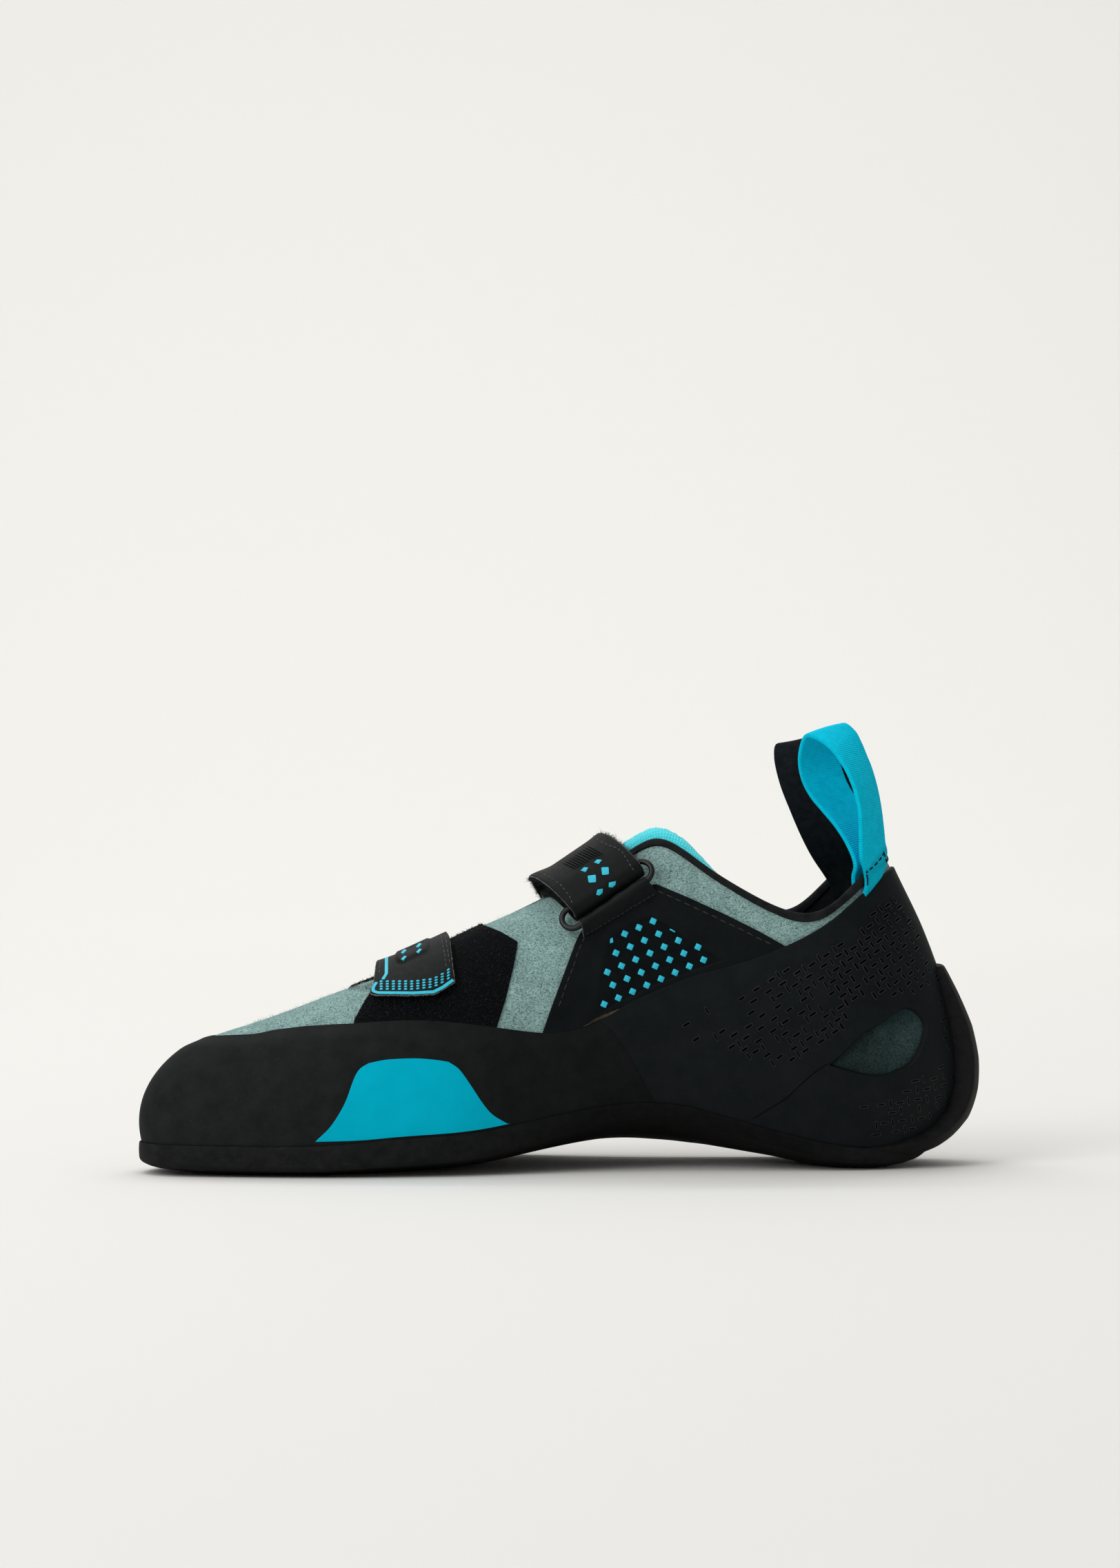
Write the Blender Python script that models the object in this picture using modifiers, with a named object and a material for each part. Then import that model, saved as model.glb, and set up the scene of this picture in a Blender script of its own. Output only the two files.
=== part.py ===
"""A right climbing shoe with two straps, standing empty on its sole.

+X is the toe, +Y the medial side, +Z up, the sole's flat spots on z = 0. Sizes are in millimetres until mesh() scales them.
The upper is one function, wall(s, v): s runs round the foot from the toe tip by the medial side, the heel and the lateral
side, and v climbs from the feather edge (0) to the spine, throat or collar (1). Every glued piece is an offset of it.
"""

import math

import bpy
import numpy as np

MM = 0.001
CENTRE = (0.05, -1.95, 0.0)  # middle of the box that holds the shoe, which becomes the origin
OBJECT = "climbing_shoe"

# Main sizes
UPPER_WALL = 1.8
GAP = 0.5
RAND = 1.4
HEEL_STRIP = 4.4
INSOLE = 1.8
STRAP = 1.8
HOOK_STRAP = 2.2
TAB = 1.2
WEBBING = 1.5
TONGUE = 3.6

# One row for each rib pair of the last, toe to heel. top_* is the spine, throat or collar; med_* and lat_* the two sides.
# foot x, y, z is the feather edge, turn the way the side faces in plan, foot_out and foot_up the pull of the wall at the
# feather, top_out and top_up the pull at the top.
LAST_COLUMNS = (
    "name", "top_x", "med_top_y", "med_top_z", "lat_top_y", "lat_top_z",
    "med_x", "med_y", "med_z", "med_turn", "med_foot_out", "med_foot_up", "med_top_out", "med_top_up",
    "lat_x", "lat_y", "lat_z", "lat_turn", "lat_foot_out", "lat_foot_up", "lat_top_out", "lat_top_up",
)
LAST = (
    ("toe_tip", 108, 14, 43.3, 14, 43.3, 131.0, 15.5, 10.0, 0, 4, 15, 16, -6, 131.0, 15.5, 10.0, 0, 4, 15, 16, -6),
    ("toe_corner", 105, 13.6, 44.3, 13.6, 44.3, 126.6, 27, 10, 34, 4, 15, 15, -3.4, 125.6, 0.6, 10, -38, 4, 15, 15, -3.4),
    ("toe_side", 98, 13, 46.4, 13, 46.4, 113, 33.8, 10, 68, 4, 17, 14, -1.2, 111, -14, 9.8, -56, 4.5, 16, 17, -1.6),
    ("toes", 86, 12, 50.2, 12, 50.2, 95, 37.8, 9.9, 83, 4, 19, 15, -0.3, 92, -28, 9.6, -63, 5, 17, 22, -0.8),
    ("ball_front", 70, 10, 56.4, 10, 56.4, 74, 40.2, 10.4, 90, 4, 22, 18, 0, 70, -38.5, 9.6, -76, 5, 18, 27, -1),
    ("ball", 52, 8, 63, 8, 63, 53, 40.2, 12.2, 93, 4, 24, 20, 0, 45, -44, 10, -88, 5, 20, 30, 0),
    ("ball_rear", 34, 5, 72.6, 5, 72.6, 31, 37, 13.6, 98, 4, 26, 20, 0, 22, -43.5, 11.5, -97, 5, 22, 30, 0),
    ("throat_front", 16, 2, 80.6, 2, 80.6, 11, 31, 17, 100, 4.5, 28, 19, 0, 1, -40, 14, -100, 5, 26, 26, 0),
    ("throat_mid", -4, 4.5, 89.8, -8, 89.5, -10, 26.8, 20.8, 95, 5, 30, 17, -4, -17, -36.5, 16.5, -98, 5, 28, 19, -6),
    ("throat_top", -22, 9.5, 100.8, -13.5, 96.5, -27, 24.8, 22, 91, 5.5, 30, 14, -14, -33, -33.2, 16.6, -94, 5, 28, 15, -16),
    ("collar_peak", -31, 13, 104.4, -17, 99, -38, 24.3, 20.8, 90, 6, 30, 12, -20, -44, -31.6, 15.6, -93, 5, 28, 12, -20),
    ("collar_front", -43, 18.3, 97.4, -21.5, 94, -50, 24.6, 17.6, 90, 6, 28, 9, -24, -55, -30.2, 13.6, -92, 5, 27, 9, -22),
    ("collar_side", -58, 23.6, 87.6, -26, 86, -66, 25.2, 13, 91, 6.5, 24, 6, -24, -70, -28.6, 10.6, -93, 6, 24, 6, -22),
    ("collar_low", -78, 26.5, 81.2, -27.5, 81.2, -87, 25.2, 8.2, 100, 7.5, 18, 5, -26, -88, -26, 8.2, -100, 7, 18, 5, -24),
    ("collar_rear", -92, 20.5, 90, -20.5, 93.6, -103, 20.8, 7.4, 122, 12, 14, 9.5, -32, -103, -20.8, 7.4, -122, 12, 14, 9.5, -32),
    ("heel_side", -101, 10.5, 97.2, -10.5, 98.6, -112, 11.8, 7.8, 152, 19, 12, 16, -38, -112, -11.8, 7.8, -152, 19, 12, 16, -38),
    ("heel_back", -104, 0, 100, 0, 100, -115.5, 0, 8.2, 180, 22.5, 11, 19, -40, -115.5, 0, 8.2, -180, 22.5, 11, 19, -40),
)

# Depth of the sole's edge on each side and how far its middle bulges below the edges, at the same ribs.
SOLE_COLUMNS = ("med_edge", "lat_edge", "dome")
SOLE = (
    (6.0, 6.0, 0.3), (7.0, 6.8, 1.2), (7.4, 7.2, 2.6), (7.4, 7.2, 3.4), (7.8, 7.2, 3.8), (8.2, 7.2, 4.0),
    (8.0, 7.4, 3.6), (7.2, 7.2, 3.2), (5.8, 7.6, 3.5), (5.0, 8.2, 4.0), (5.0, 8.2, 4.0), (5.2, 7.4, 3.6),
    (5.2, 6.2, 3.2), (4.6, 4.8, 3.8), (4.2, 4.2, 3.8), (3.6, 3.6, 2.0), (3.2, 3.2, 0.3),
)

# Top edge of the rubber on the upper: height of each edge at a place along the shoe.
RAND_TOP_COLUMNS = ("x", "medial", "lateral")
RAND_TOP = (
    (140, 41.5, 41.5), (112, 41.5, 41.5), (100, 43.0, 42.0), (85, 45.5, 42.0), (69, 46.5, 42.0), (50, 48.0, 42.0),
    (35, 47.2, 41.5), (20, 45.2, 40.5), (6, 43.2, 40.0), (0, 43.4, 40.5), (-8, 45.6, 43.0), (-20, 53.2, 48.0),
    (-40, 61.2, 56.0), (-60, 66.8, 63.5), (-72, 72.0, 71.0), (-83, 78.2, 78.2), (-93, 85.6, 86.0), (-105, 94.6, 94.6),
    (-120, 95.4, 95.4),
)

# Where the toe rand ends and the heel rand begins, as the rib at the sole and at the top edge.
SEAM_RIB = {"medial": (168.0, 150.0), "lateral": (172.0, 154.0)}

# Oval window of the heel rand in side view.
WINDOW_COLUMNS = ("x", "z", "half_long", "half_short", "tilt")
WINDOW = (-102.0, 38.0, 18.5, 8.4, -33.0)

# Heel strip of the sole: half width at a height.
STRIP_COLUMNS = ("z", "half_width")
STRIP = ((0, 12.0), (4, 14.0), (6.5, 19.0), (8, 20.5), (10, 19.5), (15, 16.2), (25, 13.2), (40, 12.0), (64, 10.6))
STRIP_TOP = 64.0

# The strap over the instep lies in a slanted plane: y across the shoe and n out from the instep, from STRAP_ORIGIN.
STRAP_ORIGIN = np.array((-1.6, 0.0, 99.0))
STRAP_ALONG = np.array((-0.829, 0.0, 0.559))
STRAP_OUT = np.array((0.559, 0.0, 0.829))
STRAP_WIDTH = 26.0
STRAP_DRIFT = 0.18
STRAP_COLUMNS = ("y", "n")
STRAP_UNDER = (
    (-35.0, -40.3), (-32.3, -31.0), (-30.0, -26.1), (-27.4, -21.4), (-24.3, -17.3), (-20.9, -13.9), (-17.2, -11.0),
    (-13.4, -8.7), (-8.6, -7.2), (-2.0, -6.0), (5.0, -6.5), (10.8, -8.4), (14.8, -12.0),
)
STRAP_OVER = (
    (19.2, -9.2), (15.2, -5.7), (9.4, -2.7), (2.0, -1.1), (-5.0, -1.7), (-11.5, -4.4), (-17.2, -8.2), (-22.0, -12.4),
    (-25.6, -16.2),
)
RING_UPPER_BAR = np.array((19.7, -14.5))
RING_LOWER_BAR = np.array((23.0, -20.7))
RING_MIDDLE = 3.6
RING_LENGTH = 35.6
RING_BAR = 1.3
TAB_WIDTH = 25.0
TAB_UNDER = ((24.6, -31.2), (23.4, -27.4))
TAB_OVER = ((25.4, -26.8), (26.6, -30.8))

# Lower strap: ribs of its two edges, height of its end on the medial side, and where it is sewn in on the lateral side.
HOOK_RIBS = (77.5, 106.5)
HOOK_END_Z = (56.6, 57.5)
HOOK_SEWN_Z = 45.5

# Pull loops: a row for each point of the path from the outside of the heel over the top to the inside.
# x, y, z from the collar on the medial side, then the width's direction in plan in degrees from the toe.
LOOP_COLUMNS = ("x", "y", "z", "turn")
LOOP_MEDIAL = (
    (-97.6, 18.9, 104, 49), (-96.2, 19.4, 114, 47), (-93.6, 18.8, 124, 42), (-89.6, 16.8, 133, 34), (-85.0, 13.2, 138.6, 27),
    (-80.4, 8.6, 138.4, 27), (-79.2, 5.6, 131, 32), (-81.2, 4.6, 121, 40), (-85.6, 6.2, 111, 46), (-90.4, 9.0, 102, 49),
)
LOOP_LATERAL = (
    (-96.4, -19.0, 104, -49), (-93.0, -19.8, 114, -46), (-88.0, -19.6, 123, -40), (-82.2, -17.8, 130, -32), (-76.8, -14.2, 134, -26),
    (-73.0, -9.4, 132.6, -26), (-73.6, -6.2, 125, -32), (-77.6, -5.4, 116, -40), (-83.4, -6.8, 108, -46), (-89.2, -9.2, 101, -49),
)
LOOP_WIDTH = 14.5
LOOP_RIB = 250.6

ROWS = {name: np.array([row[i] for row in LAST]) for i, name in enumerate(LAST_COLUMNS)}


def periodic_spline(knots, values, period):
    """The smooth closed curve through values at knots, as a function."""
    n = len(knots)
    h = np.diff(np.append(knots, knots[0] + period))
    d = (np.roll(values, -1) - values) / h
    a, r = np.zeros((n, n)), np.zeros(n)
    for i in range(n):
        a[i, (i - 1) % n] += h[i - 1]
        a[i, i] += 2 * (h[i - 1] + h[i])
        a[i, (i + 1) % n] += h[i]
        r[i] = 6 * (d[i] - d[i - 1])
    m = np.linalg.solve(a, r)

    def at(q):
        u = np.asarray(q, float) % period
        i = np.clip(np.searchsorted(knots, u, side="right") - 1, 0, n - 1)
        j = (i + 1) % n
        p, w = u - knots[i], knots[i] + h[i] - u
        return (m[i] * w**3 + m[j] * p**3) / (6 * h[i]) + (values[i] / h[i] - m[i] * h[i] / 6) * w + (values[j] / h[i] - m[j] * h[i] / 6) * p

    return at


def round_the_foot(column):
    """A column's medial rows toe to heel, then its lateral rows back to the toe."""
    lateral = ROWS["lat_" + column][1:-1][::-1].astype(float)
    if column == "turn":
        lateral = lateral + 360
    return np.concatenate([ROWS["med_" + column].astype(float), lateral])


FOOT = np.stack([round_the_foot(c) for c in ("x", "y", "z")], 1)
TOP = np.stack([np.concatenate([ROWS["top_x"].astype(float), ROWS["top_x"][1:-1][::-1].astype(float)]), round_the_foot("top_y"), round_the_foot("top_z")], 1)
CHORD = 0.65 * np.linalg.norm(np.roll(FOOT, -1, 0) - FOOT, axis=1) + 0.35 * np.linalg.norm(np.roll(TOP, -1, 0) - TOP, axis=1)
CHORD = 0.5 * (CHORD + CHORD[::-1])
KNOTS = np.concatenate([[0], np.cumsum(CHORD)])[:-1]
ROUND = CHORD.sum()
HEEL = ROUND / 2
THROAT = KNOTS[list(ROWS["name"]).index("throat_front")]
FOOT_AT = [periodic_spline(KNOTS, FOOT[:, i], ROUND) for i in range(3)]
TOP_AT = [periodic_spline(KNOTS, TOP[:, i], ROUND) for i in range(3)]
TURN_AT = periodic_spline(KNOTS, round_the_foot("turn") - 360 * KNOTS / ROUND, ROUND)
PULL_AT = {c: periodic_spline(KNOTS, round_the_foot(c), ROUND) for c in ("foot_out", "foot_up", "top_out", "top_up")}


def turn(s):
    """Unit vector in plan that the side faces at rib s."""
    u = np.asarray(s, float) % ROUND
    a = np.radians(TURN_AT(u) + 360 * u / ROUND)
    return np.stack([np.cos(a), np.sin(a), 0 * a], -1)


def foot(s):
    return np.stack([f(s) for f in FOOT_AT], -1)


def top(s):
    """The spine, throat or collar. The two sides share one spine ahead of the throat."""
    s = np.asarray(s, float) % ROUND
    here = np.stack([f(s) for f in TOP_AT], -1)
    across = np.stack([f((ROUND - s) % ROUND) for f in TOP_AT], -1)
    closed = (np.minimum(s, ROUND - s) <= THROAT + 1e-9)[..., None]
    return np.where(closed, 0.5 * (here + across), here)


def wall(s, v):
    """Outside of the upper at rib s and climb v."""
    s, v = np.broadcast_arrays(np.asarray(s, float), np.asarray(v, float))
    out, up = turn(s), np.array((0, 0, 1.0))
    pull = {c: f(s)[..., None] for c, f in PULL_AT.items()}
    a, d = foot(s), top(s)
    b = a + out * pull["foot_out"] + up * pull["foot_up"]
    c = d + out * pull["top_out"] + up * pull["top_up"]
    v = v[..., None]
    w = 1 - v
    return a * w**3 + 3 * b * w * w * v + 3 * c * w * v * v + d * v**3


def facing(s, v):
    """Unit vector straight out of the upper."""
    s, v = np.broadcast_arrays(np.asarray(s, float), np.asarray(v, float))
    v = np.minimum(v, 0.999)
    n = np.cross(wall(s + 0.2, v) - wall(s - 0.2, v), wall(s, v + 1e-3) - wall(s, v - 1e-3))
    return n / np.linalg.norm(n, axis=-1, keepdims=True)


def skin(s, v, out):
    return wall(s, v) + facing(s, v) * np.asarray(out, float)[..., None]


def climb_to(s, height, out=0.0):
    """The v at which the surface reaches a height on rib s."""
    v = np.linspace(0, 1, 161)
    z = skin(np.full_like(v, s), v, np.full_like(v, out))[:, 2]
    first = np.argmax(z >= height) if (z >= height).any() else len(v) - 1
    if first == 0:
        return 0.0
    return float(v[first - 1] + (v[first] - v[first - 1]) * np.clip((height - z[first - 1]) / max(z[first] - z[first - 1], 1e-6), 0, 1))


def rubber_edge(s):
    """The v of the rubber's top edge on rib s."""
    s = s % ROUND
    xs = np.array([row[0] for row in RAND_TOP])[::-1]
    zs = np.array([row[1 if s <= HEEL else 2] for row in RAND_TOP])[::-1]
    v = np.linspace(0.02, 0.995, 160)
    p = wall(np.full_like(v, s), v)
    over = p[:, 2] >= np.interp(p[:, 0], xs, zs)
    return float(v[np.argmax(over)]) if over.any() else 0.995


# Blender helpers

MATERIALS = {
    "suede": ((0.30, 0.40, 0.39), 0.95),
    "rubber": ((0.03, 0.03, 0.032), 0.62),
    "knit": ((0.02, 0.42, 0.55), 0.9),
    "strap": ((0.04, 0.04, 0.042), 0.7),
    "plastic": ((0.02, 0.02, 0.02), 0.4),
    "turquoise_webbing": ((0.0, 0.36, 0.50), 0.8),
    "black_webbing": ((0.03, 0.03, 0.035), 0.85),
    "board": ((0.10, 0.10, 0.10), 0.9),
}


def clear():
    for old in list(bpy.data.objects):
        bpy.data.objects.remove(old, do_unlink=True)


def collection(name):
    made = bpy.data.collections.new(name)
    bpy.context.scene.collection.children.link(made)
    return made


def material(name):
    made = bpy.data.materials.get(name)
    if made is None:
        colour, rough = MATERIALS[name]
        made = bpy.data.materials.new(name)
        made.use_nodes = True
        shader = made.node_tree.nodes["Principled BSDF"]
        shader.inputs["Base Color"].default_value = (*colour, 1)
        shader.inputs["Roughness"].default_value = rough
    return made


def mesh(name, points, faces, into, surface=None):
    data = bpy.data.meshes.new(name)
    data.from_pydata([tuple((float(x) - c) * MM for x, c in zip(p, CENTRE)) for p in points], [], faces)
    data.validate()
    made = bpy.data.objects.new(name, data)
    into.objects.link(made)
    if surface:
        data.materials.append(material(surface))
    return made


def grid(rows, columns, ring=False):
    """Quads of a grid of points counted row by row."""
    faces = []
    for i in range(rows if ring else rows - 1):
        for j in range(columns - 1):
            a, b = i * columns + j, ((i + 1) % rows) * columns + j
            faces.append((a, b, b + 1, a + 1))
    return faces


def thicken(made, thickness, offset):
    """Solidify: offset 1 builds outward along the normals, -1 inward, 0 both ways."""
    wall_of = made.modifiers.new("thickness", "SOLIDIFY")
    wall_of.thickness = thickness * MM
    wall_of.offset = offset
    wall_of.use_even_offset = True
    wall_of.use_quality_normals = True
    return wall_of


def boolean(made, other, operation):
    cut = made.modifiers.new(operation.lower(), "BOOLEAN")
    cut.operation = operation
    cut.solver = "EXACT"
    cut.object = other


def smooth_path(points, count):
    """Evenly spread points on the smooth open curve through the given ones."""
    p = np.asarray(points, float)
    ends = np.vstack([2 * p[0] - p[1], p, 2 * p[-1] - p[-2]])
    fine = []
    for k in range(1, len(ends) - 2):
        a, b, c, d = ends[k - 1 : k + 3]
        for t in np.linspace(0, 1, 24, endpoint=False):
            fine.append(0.5 * (2 * b + (c - a) * t + (2 * a - 5 * b + 4 * c - d) * t**2 + (3 * b - a - 3 * c + d) * t**3))
    fine = np.array(fine + [p[-1]])
    far = np.concatenate([[0], np.cumsum(np.linalg.norm(np.diff(fine[:, :3], axis=0), axis=1))])
    even = np.linspace(0, far[-1], count)
    return np.stack([np.interp(even, far, fine[:, i]) for i in range(p.shape[1])], 1)


# Pieces


def build_upper(into):
    front = THROAT * np.linspace(0, 1, 17) ** 1.45
    back = HEEL - (HEEL - THROAT) * np.linspace(1, 0, 19)[1:] ** 1.3
    half = np.concatenate([front, back])
    ribs = np.concatenate([half, (ROUND - half[1:-1])[::-1]])
    climbs = np.linspace(0, 1, 10)
    points = wall(ribs[:, None], climbs[None, :]).reshape(-1, 3)
    count, columns = len(ribs), len(climbs)
    share = list(range(len(points)))
    for i in range(1, len(front)):
        share[(count - i) * columns + columns - 1] = i * columns + columns - 1
    faces = [tuple(share[k] for k in f) for f in grid(count, columns, ring=True)]
    used = sorted({k for f in faces for k in f})
    index = {k: n for n, k in enumerate(used)}
    made = mesh("upper", points[used], [tuple(index[k] for k in f) for f in faces], into, "suede")
    thicken(made, UPPER_WALL, -1)
    return made


def patch(name, ribs, climbs, out, thickness, into, surface):
    """A glued sheet over a grid of ribs and climbs, out from the upper."""
    ribs, climbs = np.broadcast_arrays(ribs, climbs)
    points = skin(ribs, climbs, np.broadcast_to(out, ribs.shape)).reshape(-1, 3)
    made = mesh(name, points, grid(*ribs.shape), into, surface)
    if thickness:
        thicken(made, thickness, 1)
    return made


def rand_grid(start, end, count, columns, gather):
    """Ribs and climbs of a rubber band between two slanted ends, each (rib at the sole, rib at the top edge)."""
    across = np.linspace(0, 1, columns)
    along = np.linspace(-1, 1, count)
    along = 0.5 + 0.5 * np.sign(along) * np.abs(along) ** gather
    a = start[0] + (start[1] - start[0]) * across
    b = end[0] + (end[1] - end[0]) * across
    ribs = a[None, :] + (b - a)[None, :] * along[:, None]
    fine = np.linspace(ribs.min(), ribs.max(), 160)
    edge = np.array([rubber_edge(s) for s in fine])
    soft = np.convolve(np.pad(edge, 3, mode="edge"), np.ones(7) / 7, mode="valid")
    climbs = 0.012 + (np.interp(ribs, fine, soft) - 0.012) * across[None, :]
    return ribs, climbs


def build_rands(into, helpers):
    seam = 0.5
    medial, lateral = SEAM_RIB["medial"], SEAM_RIB["lateral"]
    ribs, climbs = rand_grid((-lateral[0], -lateral[1]), medial, 49, 6, 1.45)
    patch("toe_rand", ribs, climbs, GAP, RAND, into, "rubber")
    ribs, climbs = rand_grid(
        (medial[0] + seam, medial[1] + seam), (ROUND - lateral[0] - seam, ROUND - lateral[1] - seam), 39, 9, 1.3
    )
    heel = patch("heel_rand", ribs, climbs, GAP, RAND, into, "rubber")
    x, z, long, short, tilt = WINDOW
    turned = math.radians(tilt)
    ring = []
    for k in range(28):
        a = 2 * math.pi * k / 28
        u, w = long * math.cos(a), short * math.sin(a)
        ring.append((x + u * math.cos(turned) - w * math.sin(turned), z + u * math.sin(turned) + w * math.cos(turned)))
    points = [(p, 60.0, q) for p, q in ring] + [(p, 2.0, q) for p, q in ring]
    n = len(ring)
    faces = [tuple(range(n - 1, -1, -1)), tuple(range(n, 2 * n))]
    faces += [(k, (k + 1) % n, n + (k + 1) % n, n + k) for k in range(n)]
    cutter = mesh("window_cutter", points, faces, helpers)
    boolean(heel, cutter, "DIFFERENCE")


def sole_depths(s):
    """Depth of the edge at rib s, and the dome of that rib pair."""
    near = min(s % ROUND, ROUND - s % ROUND)
    knots = KNOTS[: len(SOLE)]
    edge = [row[0 if s % ROUND <= HEEL else 1] for row in SOLE]
    return np.interp(near, knots, edge), np.interp(near, knots, [row[2] for row in SOLE])


def sole_ledge(s):
    """Height of the top of the sole's edge: just under the lowest rim that stands on it."""
    rims = [skin(np.array(s), np.array(c), np.array(o))[2] for c, o in ((0.0, 0.0), (0.012, GAP + RAND), (0.012, GAP))]
    return min(rims) - 0.35


def leaf(name, outline, top_of, bottom_of, rows, columns, into, surface):
    """A plate between the two sides of an outline, closed at the toe and the heel. w runs -1 lateral to 1 medial."""
    ribs = HEEL * (1 - np.cos(np.pi * np.arange(rows + 1) / rows)) / 2
    w = np.linspace(-1, 1, columns)
    points, upper_rows, lower_rows = [], [], []
    for k, s in enumerate(ribs):
        medial, lateral = outline(s), outline(ROUND - s)
        across = [0.0] if k in (0, rows) else w
        up, down = [], []
        for t in across:
            p = lateral[:2] + (medial[:2] - lateral[:2]) * (t + 1) / 2
            up.append(len(points))
            points.append((p[0], p[1], top_of(s, t)))
            down.append(len(points))
            points.append((p[0], p[1], bottom_of(s, t)))
        upper_rows.append(up)
        lower_rows.append(down)
    faces = []
    for a, b, c, d in zip(upper_rows, upper_rows[1:], lower_rows, lower_rows[1:]):
        for near, far, flip in ((a, b, False), (c, d, True)):
            for j in range(columns - 1):
                quad = [near[min(j, len(near) - 1)], near[min(j + 1, len(near) - 1)], far[min(j + 1, len(far) - 1)], far[min(j, len(far) - 1)]]
                quad = list(dict.fromkeys(quad))
                if len(quad) > 2:
                    faces.append(tuple(quad[::-1] if flip else quad))
        for side, flip in ((0, False), (-1, True)):
            quad = [a[side], b[side], d[side], c[side]]
            faces.append(tuple(quad if not flip else quad[::-1]))
    return mesh(name, points, faces, into, surface)


def sole_outline(s):
    return foot(s) + turn(s) * (GAP + RAND + 0.75)


def between(s, t, value):
    lateral, medial = value(ROUND - s), value(s)
    return lateral + (medial - lateral) * (t + 1) / 2


def breadth(s):
    return min(1.0, np.linalg.norm(foot(s)[:2] - foot(ROUND - s)[:2]) / 45)


def sole_top(s, t):
    return between(s, t, sole_ledge) - 2.2 * breadth(s) * (1 - t * t)


def sole_bottom(s, t):
    edge = between(s, t, lambda q: sole_ledge(q) - sole_depths(q)[0])
    return max(0.0, edge - sole_depths(s)[1] * (1 - abs(t) ** 2.6))


def strip_half(z):
    return np.interp(z, [row[0] for row in STRIP], [row[1] for row in STRIP])


def build_outsole(into, helpers):
    made = leaf("outsole", sole_outline, sole_top, sole_bottom, 40, 9, into, "rubber")
    inner = 2 * GAP + RAND
    highest = climb_to(HEEL, STRIP_TOP, inner + HEEL_STRIP)
    climbs = np.linspace(-0.045, highest, 15)
    across = np.linspace(-1, 1, 9)
    ribs = np.zeros((len(climbs), len(across)))
    for i, v in enumerate(climbs):
        middle = skin(np.array(HEEL), np.array(v), np.array(inner + 0.5 * HEEL_STRIP))
        near = skin(np.array(HEEL - 2.0), np.array(v), np.array(inner + 0.5 * HEEL_STRIP))
        half = strip_half(middle[2]) / np.linalg.norm(near - middle) * 2.0
        ribs[i] = HEEL - min(half, 26.0) * across
    strip = patch("heel_strip", ribs, np.broadcast_to(climbs[:, None], ribs.shape), inner, HEEL_STRIP, helpers, "rubber")
    boolean(made, strip, "UNION")


def build_insole(into):
    def outline(s):
        return foot(s) - turn(s) * (UPPER_WALL + 1.3)

    def bottom(s, t):
        return sole_top(s, t * 0.93) + 0.5

    def upper_face(s, t):
        return bottom(s, t) + INSOLE

    leaf("insole", outline, upper_face, bottom, 34, 9, into, "board")


def build_tongue(into):
    rows, columns = 13, 15
    points = []
    for r in np.linspace(0, 1, rows):
        s = 116 + (196 - 116) * r
        v = 0.80 - 0.10 * (1 - r)
        deep = -(UPPER_WALL + GAP + TONGUE / 2 + 1.7)
        ends = []
        for rib in (s, ROUND - s):
            at = skin(np.array(rib), np.array(v), np.array(deep))
            rise = wall(np.array(rib), np.array(v + 0.02)) - wall(np.array(rib), np.array(v - 0.02))
            ends.append((at, rise / np.linalg.norm(rise)))
        (a, ra), (d, rd) = ends
        crown = np.interp(r, (0, 0.2, 0.45, 0.66, 0.8, 0.9, 1.0), (66.5, 73.5, 84.0, 95.0, 101.5, 102.5, 99.0))
        ahead = np.array((16.0 * r**2, 0, 0))
        reach = np.linalg.norm(a - d) * 0.36
        b, c = a + ra * reach + ahead, d + rd * reach + ahead
        lift = (crown - (a[2] + d[2]) / 8 - 3 * (b[2] + c[2]) / 8) / 0.75
        b, c = b + (0, 0, lift), c + (0, 0, lift)
        for t in np.linspace(0, 1, columns):
            w = 1 - t
            points.append(a * w**3 + 3 * b * w * w * t + 3 * c * w * t * t + d * t**3)
    made = mesh("tongue", points, [f[::-1] for f in grid(rows, columns)], into, "knit")
    thicken(made, TONGUE, 0)


def ribbon(name, path, widths, thickness, into, surface, columns=3):
    """A band along a path; widths holds the vector from its middle to its edge at each point."""
    spread = np.linspace(-1, 1, columns)
    points = (path[:, None, :] + widths[:, None, :] * spread[None, :, None]).reshape(-1, 3)
    made = mesh(name, points, grid(len(path), columns), into, surface)
    thicken(made, thickness, 0)
    return made


def strap_space(y, n, along):
    return STRAP_ORIGIN + np.array((0, y, 0)) + STRAP_OUT * n + STRAP_ALONG * along


def build_upper_strap(into):
    axis = (RING_LOWER_BAR - RING_UPPER_BAR) / np.linalg.norm(RING_LOWER_BAR - RING_UPPER_BAR)
    out = np.array((-axis[1], axis[0]))
    radius = RING_BAR + GAP + STRAP / 2 + 0.1
    turn_points = [tuple(RING_UPPER_BAR + radius * (math.cos(a) * -out + math.sin(a) * axis)) for a in np.linspace(0, math.pi, 9)]
    path = np.array(list(STRAP_UNDER) + turn_points + list(STRAP_OVER))
    path = smooth_path(np.c_[path, path[:, :1] * 0], 64)[:, :2]
    line = np.array([strap_space(y, n, STRAP_DRIFT * max(y, 0)) for y, n in path])
    ribbon("upper_strap", line, np.tile(STRAP_ALONG * STRAP_WIDTH / 2, (len(line), 1)), STRAP, into, "strap")


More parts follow.
